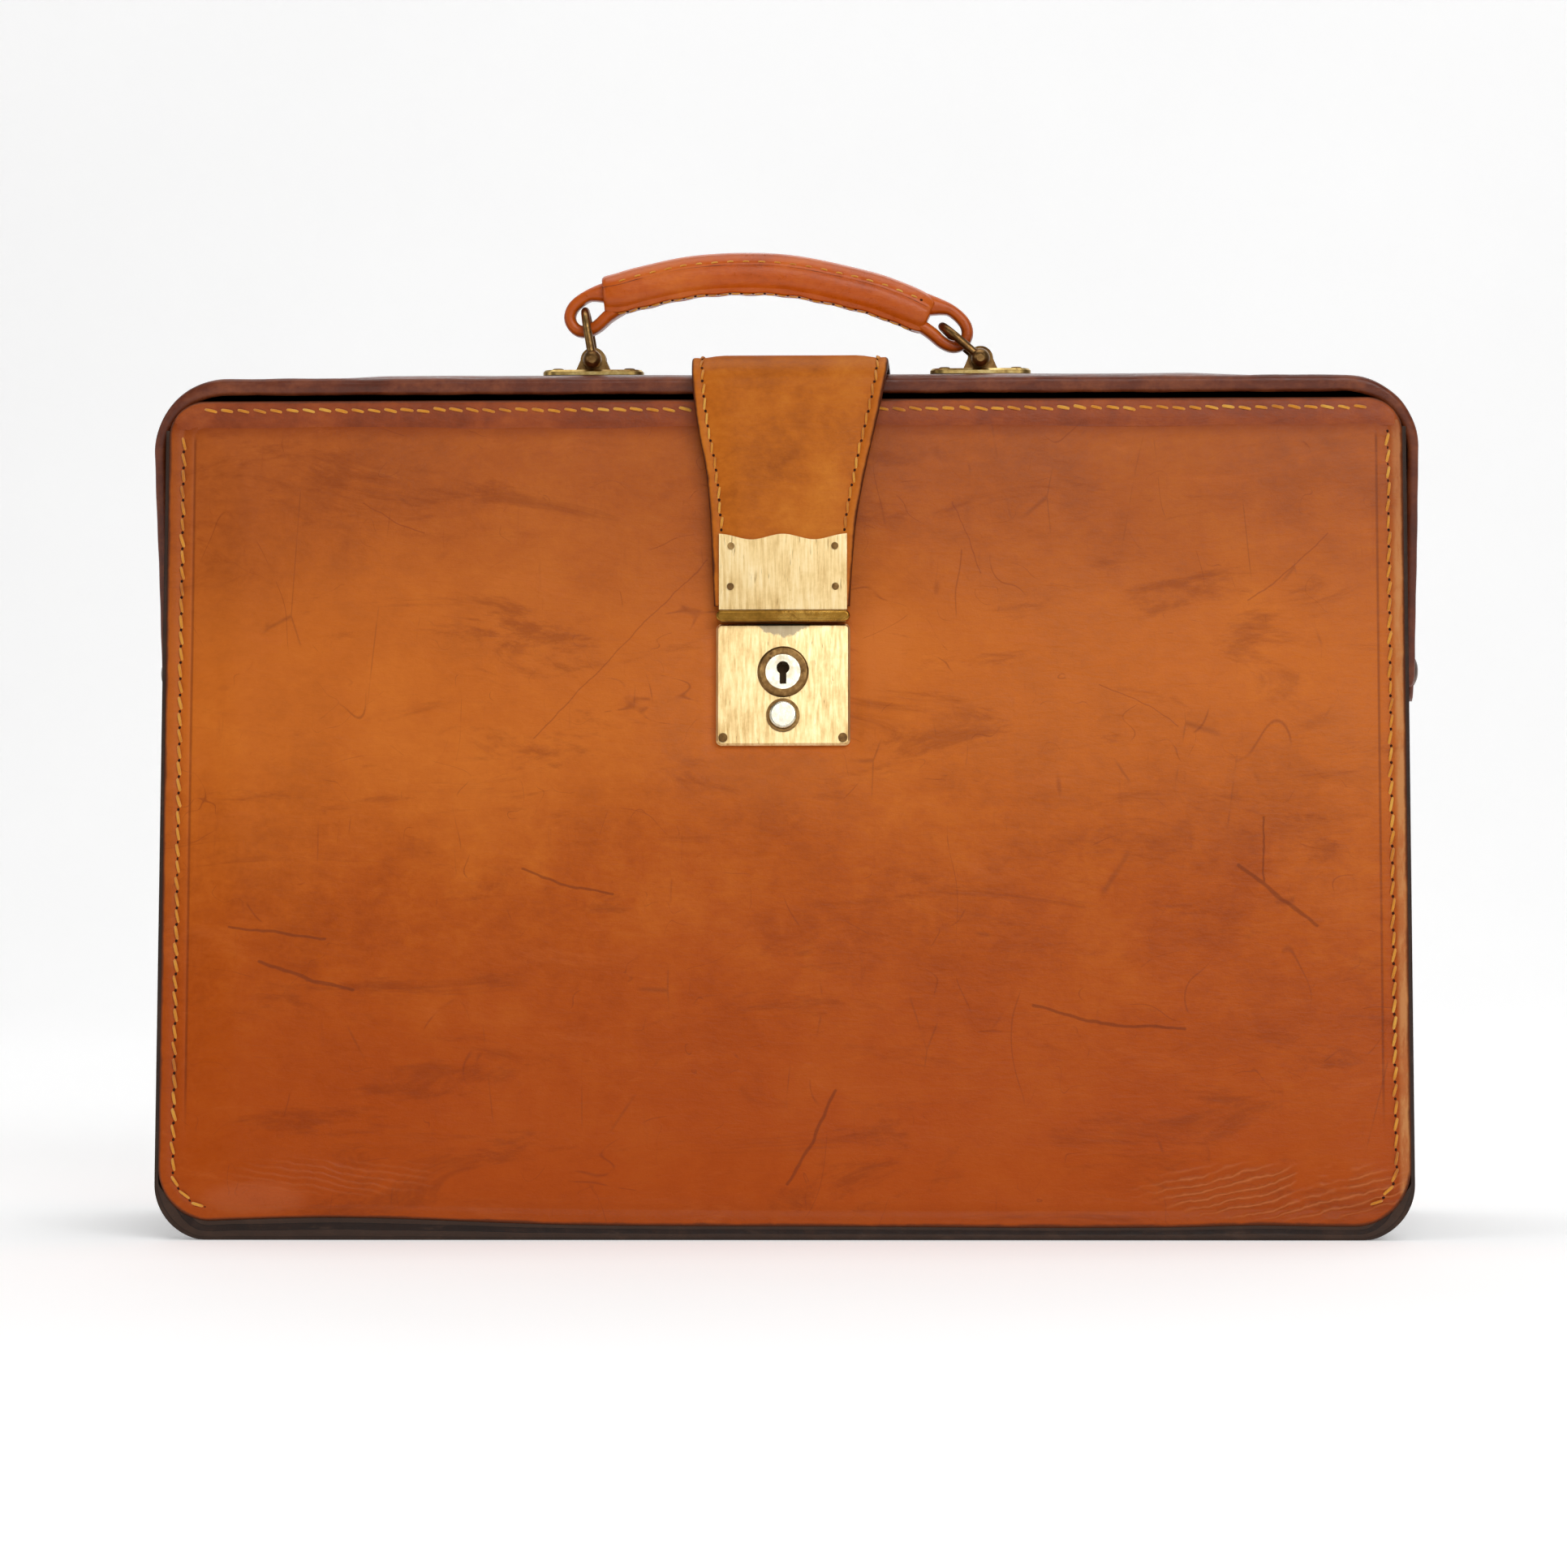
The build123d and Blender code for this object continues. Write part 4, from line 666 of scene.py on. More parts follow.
def stitch_row(name, pts, normals, pitch=5.9, length=5.3, r=0.58, slant=12.0, lift=0.16, jitter=0.15, depth=0.55, flip=1):
    """Saddle stitches along a line: slightly slanted rounded thread ends that dip into their holes, each hole a dimple
    coloured dark as painted shade.
    """
    pts = np.asarray(pts, float)
    total = path_len(pts)
    n = max(2, int(round(total / pitch)))
    d = np.concatenate([[0], np.cumsum(np.linalg.norm(np.diff(pts, axis=0), axis=1))])
    local = np.random.default_rng(len(name) * 131 + n)
    V, F, A = [], [], []
    HV, HF = [], []
    S, R = ((9, 8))
    for k in range(n):
        c = (k + 0.5) * total / n
        pos = np.array([np.interp(c, d, pts[:, a]) for a in range(3)])
        p1 = np.array([np.interp(c + 0.8, d, pts[:, a]) for a in range(3)])
        p0 = np.array([np.interp(c - 0.8, d, pts[:, a]) for a in range(3)])
        nm = np.array([np.interp(c, d, normals[:, a]) for a in range(3)])
        nm /= np.linalg.norm(nm)
        t = p1 - p0
        t /= np.linalg.norm(t)
        t -= nm * (t @ nm)
        t /= np.linalg.norm(t)
        b = np.cross(nm, t)
        ang = math.radians(flip * slant + local.normal(0, 2.5))
        t2 = t * math.cos(ang) + b * math.sin(ang)
        b2 = np.cross(nm, t2)
        L = length * (1 + local.normal(0, 0.04))
        rr = r * (1 + local.normal(0, 0.06))
        off = local.normal(0, jitter)
        base = len(V)
        for i in range(S):
            u = i / (S - 1) * 2 - 1
            prof = math.sqrt(max(0.0, 1 - abs(u) ** 3.2))
            h = lift + 0.30 * (1 - u * u) - depth * abs(u) ** 5
            ce = pos + b * off + t2 * (u * L / 2) + nm * h
            w = rr * (0.30 + 0.70 * prof)
            for q in range(R):
                a = 2 * math.pi * q / R
                V.append(ce + b2 * (w * math.cos(a)) + nm * (w * 0.8 * math.sin(a)))
                A.append(u * L / 2 / 0.55)
        for i in range(S - 1):
            for q in range(R):
                q2 = (q + 1) % R
                F.append((base + i * R + q, base + i * R + q2, base + (i + 1) * R + q2, base + (i + 1) * R + q))
        F.append(tuple(base + q for q in range(R - 1, -1, -1)))
        F.append(tuple(base + (S - 1) * R + q for q in range(R)))
        # the hole between this stitch and the next: a low dimple, its dark colour painted shade
        hb = len(HV)
        hc = pos + t * (total / n / 2) + nm * 0.03
        K = 8
        for q in range(K):
            a = 2 * math.pi * q / K
            HV.append(hc + t * (0.55 * math.cos(a)) + b * (0.48 * math.sin(a)))
        HV.append(hc + nm * 0.05)
        HV.append(hc - nm * 0.5)
        for q in range(K):
            HF.append((hb + q, hb + (q + 1) % K, hb + K))
            HF.append((hb + (q + 1) % K, hb + q, hb + K + 1))
    o = make_mesh(name, V + HV, F + [tuple(i + len(V) for i in f) for f in HF], [M_THREAD, M_HOLE_SHADE],
                  attrs={"along": A + [0.0] * len(HV)},
                  face_mats=[0] * len(F) + [1] * len(HF))
    return o


# ------------------------------------------------------------------ the case's measures, in millimetres, as in the CAD
LEAN = math.atan2(37.0, 298.0)
CA, SA = math.cos(LEAN), math.sin(LEAN)
HWP, S_BOT, S_TOP, RB, RT = 220.0, 6.0, 299.6, 20.0, 13.0
PIV = 200.3


def on_face(x, s, off, side=-1):
    """Point of the front (side -1) or back (side +1) hide: across, up the slope, and out from its outer face."""
    x, s, off = np.broadcast_arrays(np.asarray(x, float), np.asarray(s, float), np.asarray(off, float))
    y = side * (75.0 - s * SA + off * CA)
    z = s * CA + off * SA
    return np.stack([x, y, z], -1)


def face_normal(side=-1):
    return np.array([0.0, side * CA, SA])


def s_low(x):
    """The hide's lower edge wanders where it has curled over the seam."""
    return 5.0 + 3.0 * np.exp(-((x + 158) / 62.0) ** 2) + 0.5 * np.exp(-((x - 165) / 18.0) ** 2) \
        - 0.5 * np.exp(-((x - 100) / 60.0) ** 2)


def half_width(s, s0, s1, hw, rb, rt):
    w = np.full_like(s, hw)
    m1 = s < s0 + rb
    w[m1] = hw - rb + np.sqrt(np.maximum(0, rb ** 2 - (s0 + rb - s[m1]) ** 2))
    m2 = s > s1 - rt
    w[m2] = hw - rt + np.sqrt(np.maximum(0, rt ** 2 - (s[m2] - (s1 - rt)) ** 2))
    return w


def edge_distance(x, s, s0, s1, hw, rb, rt):
    ax = np.abs(x)
    d = np.minimum(np.minimum(hw - ax, s - s0), s1 - s)
    c = (ax > hw - rb) & (s < s0 + rb)
    d = np.where(c, rb - np.hypot(ax - (hw - rb), s - (s0 + rb)), d)
    c = (ax > hw - rt) & (s > s1 - rt)
    d = np.where(c, rt - np.hypot(ax - (hw - rt), s - (s1 - rt)), d)
    return np.maximum(d, 0)


EDGE_STEPS = [0.0, 0.15, 0.4, 0.8, 1.3, 2.1, 3.1, 4.0, 4.8, 5.5, 6.2, 7.0, 8.0, 8.9, 9.5, 10.1, 11.0, 12.5]


def spaced(a, b, step, fine=EDGE_STEPS):
    """Samples from a to b: fine near both ends, even between."""
    f = np.array(fine)
    mid = np.arange(a + f[-1] + step, b - f[-1] - step * 0.5, step)
    return np.concatenate([a + f, mid, (b - f)[::-1]])


def wrinkle(x, s):
    """Soft waves of the worn hide, in millimetres."""
    w = 0.22 * np.sin(x / 31.0 + 0.6 * np.sin(s / 40.0)) * np.sin(s / 37.0 + 1.2)
    w += 0.10 * np.sin(x / 13.0 + s / 21.0) * np.sin(s / 17.0 - x / 40.0)
    # creases running in from the lower right corner
    k = np.exp(-(((x - 175) / 42.0) ** 2 + ((s - 24) / 18.0) ** 2))
    ph = (s - 0.32 * (x - 100)) / 3.1
    w += -0.26 * k * np.maximum(0, np.sin(ph)) ** 3
    # a crease along the foot, and the soft bulge at the lower left
    w += -0.35 * np.exp(-((s - 10.5) / 1.1) ** 2) * np.exp(-((x - 35) / 75.0) ** 2)
    w += 1.1 * np.exp(-(((x + 182) / 26.0) ** 2 + ((s - 22) / 9.0) ** 2))
    ph2 = (s + 0.22 * (x + 200)) / 2.6
    w += -0.16 * np.exp(-(((x + 150) / 45.0) ** 2 + ((s - 27) / 10.0) ** 2)) * np.maximum(0, np.sin(ph2)) ** 3
    return w


def hide(name, side, mat, top, lock=False):
    step = 2.2
    s = spaced(S_BOT, top, step)
    s = np.unique(np.concatenate([s, S_BOT + RB * (1 - np.cos(np.linspace(0, np.pi / 2, 22)))]))
    w = half_width(s, S_BOT, top, HWP, RB, RT)
    u = spaced(-HWP, HWP, step) / HWP
    X = w[:, None] * np.sign(u) * 1.0
    # keep the distance from the edge, not the ratio, near both ends
    d = HWP * (1 - np.abs(u))
    X = np.sign(u)[None, :] * np.maximum(w[:, None] - d[None, :] * (w[:, None] / HWP), 0)
    S = np.repeat(s[:, None], len(u), 1)
    D = edge_distance(X, S, S_BOT, top, HWP, RB, RT)
    r = 1.3
    dd = np.minimum(D, r)
    off = -(r - np.sqrt(np.maximum(0, r * r - (r - dd) ** 2)))
    off += -0.30 * np.exp(-((D - 5.4) / 1.2) ** 2) - 0.16 * np.exp(-((D - 9.5) / 0.5) ** 2) * np.clip((S - 30) / 30.0, 0, 1)
    keep = np.clip((D - 6.0) / 22.0, 0, 1)
    keep = keep * keep * (3 - 2 * keep)
    off += keep * 1.3
    off += wrinkle(X if side < 0 else -X, S) * np.clip((D - 2) / 8, 0, 1)
    if lock:
        k = 1 - np.exp(-((X / 40.0) ** 4 + ((S - 205) / 42.0) ** 4))
        off = np.where(D > 12, off * k, off)
        px = np.abs(X) - 24.9
        ps = np.abs(S - 196.4) - 23.2
        dr = np.maximum(px, ps)
        off += -0.55 * np.exp(-(dr / 0.8) ** 2)
    S2 = S + (s_low(X) - S_BOT) * np.exp(-(S - S_BOT) / 14.0)
    P = on_face(X, S2, off, side)
    Q = on_face(X, S2, np.full_like(off, -3.4), side)
    flat = np.stack([X, S2, np.zeros_like(X)], -1)
    cut = None
    if lock:
        xc, sc = (X[1:, 1:] + X[:-1, :-1]) / 2, (S2[1:, 1:] + S2[:-1, :-1]) / 2
        cut = (np.abs(xc) < 19.5) & (np.abs(sc - 196.4) < 18.0)
    o = shell(name, P, Q, mat, attrs={"edge": (D, np.zeros_like(D)), "flat": (flat, flat)}, hole=cut)
    return o


def hide_line(pts, off, side=-1):
    pts = np.asarray(pts, float)
    return on_face(pts[:, 0], pts[:, 1], off, side)


def seam_path(inset, top, n=400, lo=S_BOT, start_bottom=True):
    """The line 'inset' inside the hide's outline: down the left side, round both corners and up the right."""
    hw, r = HWP - inset, RB - inset
    y0 = lo + inset
    left = [(-hw, y) for y in np.linspace(top, y0 + r, 60)]
    a = np.linspace(np.pi, 1.5 * np.pi, 24)
    lc = [(-hw + r + r * math.cos(t), y0 + r + r * math.sin(t)) for t in a[1:]]
    bot = [(x, y0) for x in np.linspace(-hw + r, hw - r, 80)[1:]]
    a = np.linspace(1.5 * np.pi, 2 * np.pi, 24)
    rc = [(hw - r + r * math.cos(t), y0 + r + r * math.sin(t)) for t in a[1:]]
    right = [(hw, y) for y in np.linspace(y0 + r, top, 60)[1:]]
    return left, lc, bot, rc, right


# ------------------------------------------------------------------ front and back hides
front = hide("front_hide", -1, M_FRONT, S_TOP, lock=True)
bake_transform(front)
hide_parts("front_panel_lower", "front_panel_upper")

back = hide("back_hide", 1, M_TAN, S_TOP - 1.4)
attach(back, "case")
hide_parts("back_panel")


def add_seams(side, name, top):
    left, lc, bot, rc, right = seam_path(5.4, top)
    n = face_normal(side)
    rows = [("l", left + lc[:20]), ("r", rc[4:] + right)]
    out = []
    for k, pts in rows:
        p = hide_line(pts, -0.22, side)
        o = stitch_row(f"{name}_{k}", p, np.repeat(n[None], len(p), 0), flip=-side if k == "l" else side)
        out.append(o)
    return out


for o in add_seams(-1, "front_seam", 287.0):
    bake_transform(o)
for o in add_seams(1, "back_seam", 286.0):
    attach(o, "case")


# reinforcing band along the front's top edge
def band():
    n = 240
    x = np.linspace(-1, 1, n)
    k = [0.0, 0.15, 0.5, 1.0, 2.2, 4.0, 5.6, 7.6, 8.6, 9.1, 9.35, 9.5]
    hwb = 218.6
    X = np.repeat((np.sign(x) * (1 - (1 - np.abs(x)) ** 1.0) * hwb)[:, None], len(k), 1)
    low = 9.5
    ax = np.abs(X)
    cx = HWP - RT
    t = np.clip((ax - cx) / RT, 0, 1)
    drop = RT - np.sqrt(np.maximum(0, RT * RT - (t * RT) ** 2))
    upper = S_TOP - 0.25 - drop
    T = np.array(k)[None] / low * (upper - (S_TOP - low - 1.0))
    S = upper - T
    room = upper - (S_TOP - low - 1.0)
    off = np.full_like(X, 0.42)
    fade = np.clip((room - T) / 3.2, 0, 1)
    off = 0.04 + 0.38 * fade * fade * (3 - 2 * fade)
    off -= 1.0 * (1 - np.clip(T / 1.2, 0, 1)) ** 2
    off += 0.06 * np.sin(X / 9.0) * np.sin(X / 23.0 + 1) - 0.22 * np.exp(-((T - 3.4) / 0.9) ** 2)
    side = np.clip((hwb - ax) / 1.0, 0, 1)
    off -= 0.5 * (1 - side) ** 2
    P = on_face(X, S, off)
    Q = on_face(X, S, np.full_like(off, -0.6))
    D = np.minimum(T, hwb - ax + 0.3) + 0.2
    flat = np.stack([X, S, 0 * X], -1)
    return shell("top_binding", P, Q, M_BAND, attrs={"edge": (D, 0 * D), "flat": (flat, flat)})


tb = band()
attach(tb, "front_hoop")
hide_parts("top_band")
px = np.linspace(-208, 208, 220)
p = on_face(px, np.full_like(px, S_TOP - 3.9), np.full_like(px, 0.2))
o = stitch_row("top_seam", p, np.repeat(face_normal()[None], len(px), 0), flip=-1)
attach(o, "front_hoop")


# ------------------------------------------------------------------ seam layers round the case
def welt(name, side, top):
    hw, r = 221.4, RB
    pts, nor = [], []
    for y in np.linspace(top, r, 110):
        pts.append((-hw, y)); nor.append((-1.0, 0.0))
    for t in np.linspace(np.pi, 1.5 * np.pi, 30)[1:]:
        pts.append((-hw + r + r * math.cos(t), r + r * math.sin(t))); nor.append((math.cos(t), math.sin(t)))
    for x in np.linspace(-hw + r, hw - r, 170)[1:]:
        pts.append((x, 0.0)); nor.append((0.0, -1.0))
    for t in np.linspace(1.5 * np.pi, 2 * np.pi, 30)[1:]:
        pts.append((hw - r + r * math.cos(t), r + r * math.sin(t))); nor.append((math.cos(t), math.sin(t)))
    for y in np.linspace(r, top, 110)[1:]:
        pts.append((hw, y)); nor.append((1.0, 0.0))
    pts, nor = np.array(pts), np.array(nor)
    bottomness = np.clip(-nor[:, 1], 0, 1) ** 1.3
    b = 1.5 + (s_low(pts[:, 0]) + 0.2 - 1.5) * bottomness
    b = b + 15.0 * bottomness * (1 - bottomness)
    ring = []
    lay = []
    for i in range(len(pts)):
        bb = b[i]
        layers = 1.0 + 2.4 * bottomness[i]
        sec, la = [], []
        for (rr, oo, l) in [(0.35, -8.4, 0.5), (0.0, -7.6, 0.5), (0.0, -5.0, 0.5), (0.0, -3.0, 0.5), (0.12, -1.9, 0.5)]:
            sec.append((rr, oo)); la.append(l)
        K = 13
        for k in range(K):
            f = k / (K - 1)
            q = f * layers
            groove = 0.30 * bottomness[i] * (math.cos(2 * math.pi * q) ** 8 if 0.2 < q < layers - 0.1 else 0)
            oo = -1.0 - groove - (0.55 * (1 - min(1, f / 0.12)) ** 2) - 0.35 * (1 - bottomness[i])
            sec.append((0.25 + f * (bb - 0.25), oo)); la.append(0.5 + q)
        for (rr, oo) in [(bb + 0.1, -3.6), (bb + 3.5, -3.6), (bb + 3.5, -8.4), (bb * 0.6 + 1, -8.5)]:
            sec.append((rr, oo)); la.append(0.5)
        sec = np.array(sec)
        x = pts[i, 0] - nor[i, 0] * sec[:, 0]
        s = pts[i, 1] - nor[i, 1] * sec[:, 0]
        P = on_face(x, s, sec[:, 1], side)
        P[:, 2] = np.maximum(P[:, 2], 0.05)
        ring.append(P)
        lay.append(la)
    o = tube(name, np.array(ring), M_WELT, attrs={"layer": np.array(lay)})
    return o


fw = welt("front_seam_layers", -1, 289.0)
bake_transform(fw)
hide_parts("front_welt")
rw = welt("rear_seam_layers", 1, 289.0)
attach(rw, "case")
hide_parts("rear_welt")


# ------------------------------------------------------------------ gussets: one side wall each, pleated into the fold at the top
def gusset(name, sx):
    nz, ny = ((150, 90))
    z = np.concatenate([np.linspace(1.2, 200, nz), np.linspace(203, 288, 46)])
    P = np.zeros((len(z), ny, 3))
    D = np.zeros((len(z), ny))
    for i, zz in enumerate(z):
        yf = -(75.0 - 3.6 / CA - zz * SA / CA)
        yb = -yf
        if zz > 262:
            yb = min(yb, 40.0)
        # columns crowd towards the front edge, where the fold opens
        t = np.concatenate([np.linspace(0, 0.12, ny // 3, endpoint=False), np.linspace(0.12, 1, ny - ny // 3)])
        y = yf + (yb - yf) * t
        P[i, :, 1] = y
        P[i, :, 2] = zz
        c = (y - (yf + yb) / 2) / ((yb - yf) / 2)
        up = np.clip((zz - 90) / 110.0, 0, 1)
        inward = 2.0 * (1 - c ** 2) * np.clip(zz / 60.0, 0.1, 1) + up * 2.6 * np.exp(-(c / 0.16) ** 2)
        inward += 0.35 * np.sin(zz / 12.0 + 3 * c) * (1 - c ** 2) + 0.25 * np.sin(zz / 5.0 - 6 * c) * (1 - c * c) * up
        flare = 5.8 * (np.clip((np.abs(c) - 0.955) / 0.045, 0, 1) ** 1.5) * (zz < 286)
        P[i, :, 0] = 213.2 - inward + flare
        D[i] = 5.0
    # rounded foot: the wall turns under into the bottom
    foot = np.clip((20.0 - P[:, :, 2]) / 20.0, 0, 1)
    P[:, :, 0] -= 20.0 * (1 - np.sqrt(1 - foot ** 2)) + 1.2 * foot
    P[:, :, 0] *= sx
    Q = P.copy()
    Q[:, :, 0] -= sx * 1.6
    o = shell(name, P, Q, M_DARK, attrs={"edge": (D, D)})
    return o


for name, sx, node in (("left_side_wall", -1, "left_gusset"), ("right_side_wall", 1, "right_gusset")):
    g = gusset(name, sx)
    # the fold line's slope puts the whole fan between the hood's edge and the hide's edge
    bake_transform(g)
    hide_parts(node)


# bottom: one wide dark strip between the two seams, slightly hollow with use
def bottom():
    nx, ny = 120, 40
    x = np.linspace(-210, 210, nx)
    y = np.linspace(-66.6, 66.6, ny)
    X, Y = np.meshgrid(x, y, indexing="ij")
    ex = np.clip((np.abs(X) - 196) / 14.0, 0, 1)
    Z = 0.35 + 0.8 * (1 - np.abs(Y / 66.6) ** 3) * (1 - ex) + 9.0 * (1 - np.sqrt(np.maximum(0, 1 - ex ** 2)))
    Z += 0.15 * np.sin(X / 19.0) * np.sin(Y / 11.0)
    Z = np.maximum(Z, 0.1)
    P = np.stack([X, Y, Z], -1)
    Q = P + np.array([0, 0, 2.2])
    return shell("bottom_leather", P, Q, M_DARK, attrs={"edge": (0 * X + 5, 0 * X + 5)})


b = bottom()
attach(b, "case")
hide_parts("bottom_panel")


# linings
def lining(name, side):
    x = np.linspace(-206, 206, 60)
    s = np.linspace(14, 288 if side > 0 else 215, 60)
    X, S = np.meshgrid(x, s, indexing="ij")
    off = -3.6 + 0.05 * np.sin(X / 17.0) * np.sin(S / 13.0)
    P = on_face(X, S, off, side)
    Q = on_face(X, S, off - 0.8, side)
    return shell(name, P, Q, M_CLOTH)


for name, side, node in (("front_lining_cloth", -1, "front_lining"), ("back_lining_cloth", 1, "back_lining")):
    o = lining(name, side)
    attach(o, "case")
    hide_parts(node)

# ------------------------------------------------------------------ hood
FHW, FTOP, FR = 226.5, 305.3, 27.0
CROWN = 308.3


def hoop_path(hw, top, r, low, n_leg=70, n_arc=26, n_top=150):
    """Inverted U in XZ with its outward normals, from the left leg's foot to the right's."""
    pts, nor = [], []
    for z in np.linspace(low, top - r, n_leg):
        pts.append((-hw, z)); nor.append((-1.0, 0.0))
    for t in np.linspace(np.pi, np.pi / 2, n_arc)[1:]:
        pts.append((-hw + r + r * math.cos(t), top - r + r * math.sin(t))); nor.append((math.cos(t), math.sin(t)))
    for x in np.linspace(-hw + r, hw - r, n_top)[1:]:
        pts.append((x, top)); nor.append((0.0, 1.0))
    for t in np.linspace(np.pi / 2, 0, n_arc)[1:]:
        pts.append((hw - r + r * math.cos(t), top - r + r * math.sin(t))); nor.append((math.cos(t), math.sin(t)))
    for z in np.linspace(top - r, low, n_leg)[1:]:
        pts.append((hw, z)); nor.append((1.0, 0.0))
    return np.array(pts), np.array(nor)


def hood_front(z):
    return np.interp(z, [PIV + 2, 296.0], [-11.3, -33.0])


def hood():
    P2, N2 = hoop_path(FHW - 0.3, FTOP - 0.4, FR, 189.3)
    m_ = 34
    rows_o, rows_i, dist = [], [], []
    for (x, z), (nx, nz) in zip(P2, N2):
        if z < PIV:
            h = math.sqrt(max(0.02, 11.3 ** 2 - (z - PIV) ** 2))
            yf, yb = -h, h
        else:
            yf = float(hood_front(z)) + 0.6
            yb = float(np.interp(z, [PIV + 2, 296.0], [11.3, 38.0]))
            if z < PIV + 2:
                yf, yb = -11.2, 11.2
        if z > 215:
            yf += 1.4
        t = np.linspace(0, np.pi, m_)
        y = yf + (yb - yf) * (1 - np.cos(t)) / 2
        e = np.minimum(y - yf, yb - y)
        bev = 1.1
        drop = bev - np.sqrt(np.maximum(0, bev ** 2 - (bev - np.minimum(e, bev)) ** 2))
        crown = 3.2 * np.clip(nz, 0, 1) ** 2 * np.clip((205 - abs(x)) / 60.0, 0, 1)
        cy = (y - 2.0) / 36.0
        cr = crown * np.maximum(0, 1 - cy * cy) ** 0.75
        soft = 0.10 * np.sin(x / 11.0 + y / 7.0) * np.sin(z / 9.0 + y / 5.0)
        a = cr - drop + soft
        inn = -2.1 * np.ones_like(y)
        # the rear edge is turned in, so that it closes on the gussets and on the top of the back hide
        turn = 0.8 + 12.0 * float(np.clip((z - 208) / 10.0, 0, 1))
        q = np.linspace(0, 1, 7)[1:]
        a = np.concatenate([a, a[-1] - q * turn])
        inn = np.concatenate([inn, -2.1 - q * turn])
        yo = np.concatenate([y, np.full(6, yb - 0.3)])
        yi = np.concatenate([y[:-1] - 0.0, [yb - 1.6], np.full(6, yb - 1.6)])
        rows_o.append(np.stack([x + nx * a, yo, z + nz * a], -1))
        rows_i.append(np.stack([x + nx * inn, yi, z + nz * inn], -1))
        dist.append(np.concatenate([e, np.full(6, 5.0)]))
    P, Q = np.array(rows_o), np.array(rows_i)
    D = np.array(dist)
    return shell("hood_leather", P, Q, M_FRAME, attrs={"edge": (D, D)})


h = hood()
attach(h, "case")
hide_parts("rear_frame_cover")

EA = math.atan2(-11.6 + 33.0, 296.0 - PIV - 2)
EC, ES = math.cos(EA), math.sin(EA)


def bead():
    top_l = (FTOP - 296.0) / EC
    P2, N2 = hoop_path(FHW, top_l, FR, -104.0, n_leg=90, n_arc=34, n_top=240)
    m_ = 20
    rings = []
    for i, ((x, v), (nx, nv)) in enumerate(zip(P2, N2)):
        topness = max(0.0, nv) ** 1.5
        th = 4.3 + 1.7 * topness
        dp = 5.2
        end = min(1.0, (i + 0.6) / 5.0, (len(P2) - 1 - i + 0.6) / 5.0)
        end = math.sqrt(max(0.05, 1 - (1 - end) ** 2))
        wob = 1 + 0.03 * math.sin(x / 7.0 + v / 9.0) + 0.02 * math.sin(x / 3.1 - v / 2.7)
        ring = []
        for q in range(m_):
            a = 2 * math.pi * q / m_
            ca, sa_ = math.cos(a), math.sin(a)
            e = 0.72
            rr = math.copysign(abs(ca) ** e, ca) * th / 2 * end * wob
            dd = math.copysign(abs(sa_) ** e, sa_) * dp / 2 * end * wob
            rad = -th / 2 + rr
            X = x + nx * rad
            V = v + nv * rad
            # along the sloping edge plane
            y = -33.0 + (296.0 + V * EC - 296.0) * 0 - V * ES - dd * EC
            zz = 296.0 + V * EC - dd * ES
            ring.append((X, y, zz))
        rings.append(ring)
    return tube("hood_bead", np.array(rings), M_FRAME)


bd = bead()
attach(bd, "case")
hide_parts("rear_frame_bead")


# the leather sleeve on the front frame's top bar, coloured near-black as painted shade in the gap under the hood's bead
def bar_cover():
    n, m_ = 120, 18
    x = np.linspace(-204, 204, n)
    T = math.atan2(26.0, 94.0)
    tc, ts = math.cos(T), math.sin(T)
    rings = []
    for xx in x:
        end = min(1.0, (204 - abs(xx)) / 3.0 + 0.2)
        ring = []
        for q in range(m_):
            a = 2 * math.pi * q / m_
            u = math.copysign(abs(math.cos(a)) ** 0.5, math.cos(a)) * (8.9 if end >= 1 else 8.9 * end)
            v = math.copysign(abs(math.sin(a)) ** 0.5, math.sin(a)) * 2.1 * end + 96.0 + 0.1 * math.sin(xx / 13)
            ring.append((xx, -v * ts - u * tc, PIV + v * tc - u * ts))
        rings.append(ring)
    return tube("front_bar_leather", np.array(rings), M_BAR_SHADE)


# near-black, nearly matte sleeve: painted shade for the gap between the hide's top and the hood's bead
M_BAR_SHADE = leather("bar_leather", srgb(10, 6, 5), srgb(18, 11, 8), srgb(32, 20, 14), rough=(0.7, 0.85), spec=0.05)
bc = bar_cover()
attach(bc, "front_hoop")
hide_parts("front_frame_cover")

# ------------------------------------------------------------------ strap: one hide from the back, over the top, to the hasp
ZW = [216.0, 221.0, 232.2, 252.9, 271.3, 286.3, 299.8, 308.0, 312.0]
WW = [23.8, 23.9, 24.5, 25.7, 28.2, 31.5, 34.0, 34.8, 35.0]
CX = [-0.4, -0.4, -0.4, 0.0, 0.9, 1.1, 1.8, 2.2, 2.3]


def strap_line():
    """Outer surface line of the strap in YZ, from the tail at the back to its end behind the lip."""
    zt = 312.1
    sb = 75.0 - 222.0 * SA / CA + 4.3
    pts = [(sb, 222.0), (75.0 - 250 * SA / CA + 4.3, 250.0), (75.0 - 280 * SA / CA + 4.4, 280.0), (42.6, 298.0),
           (40.2, 306.0), (34.5, 310.6), (24.0, 311.9), (6.0, 312.3), (-12.0, 312.3), (-30.0, zt)]
    a = [(-36.0 - 11.8 * math.sin(t), 300.2 + 11.9 * math.cos(t)) for t in np.linspace(0.15, math.pi / 2, 10)]
    b = [(-48.0, 296.0), (-48.6, 285.0), (-49.9, 265.0), (-51.2, 245.0), (-52.6, 223.0)]
    return smooth_path(pts + a + b, 260)


SL_PTS = strap_line()


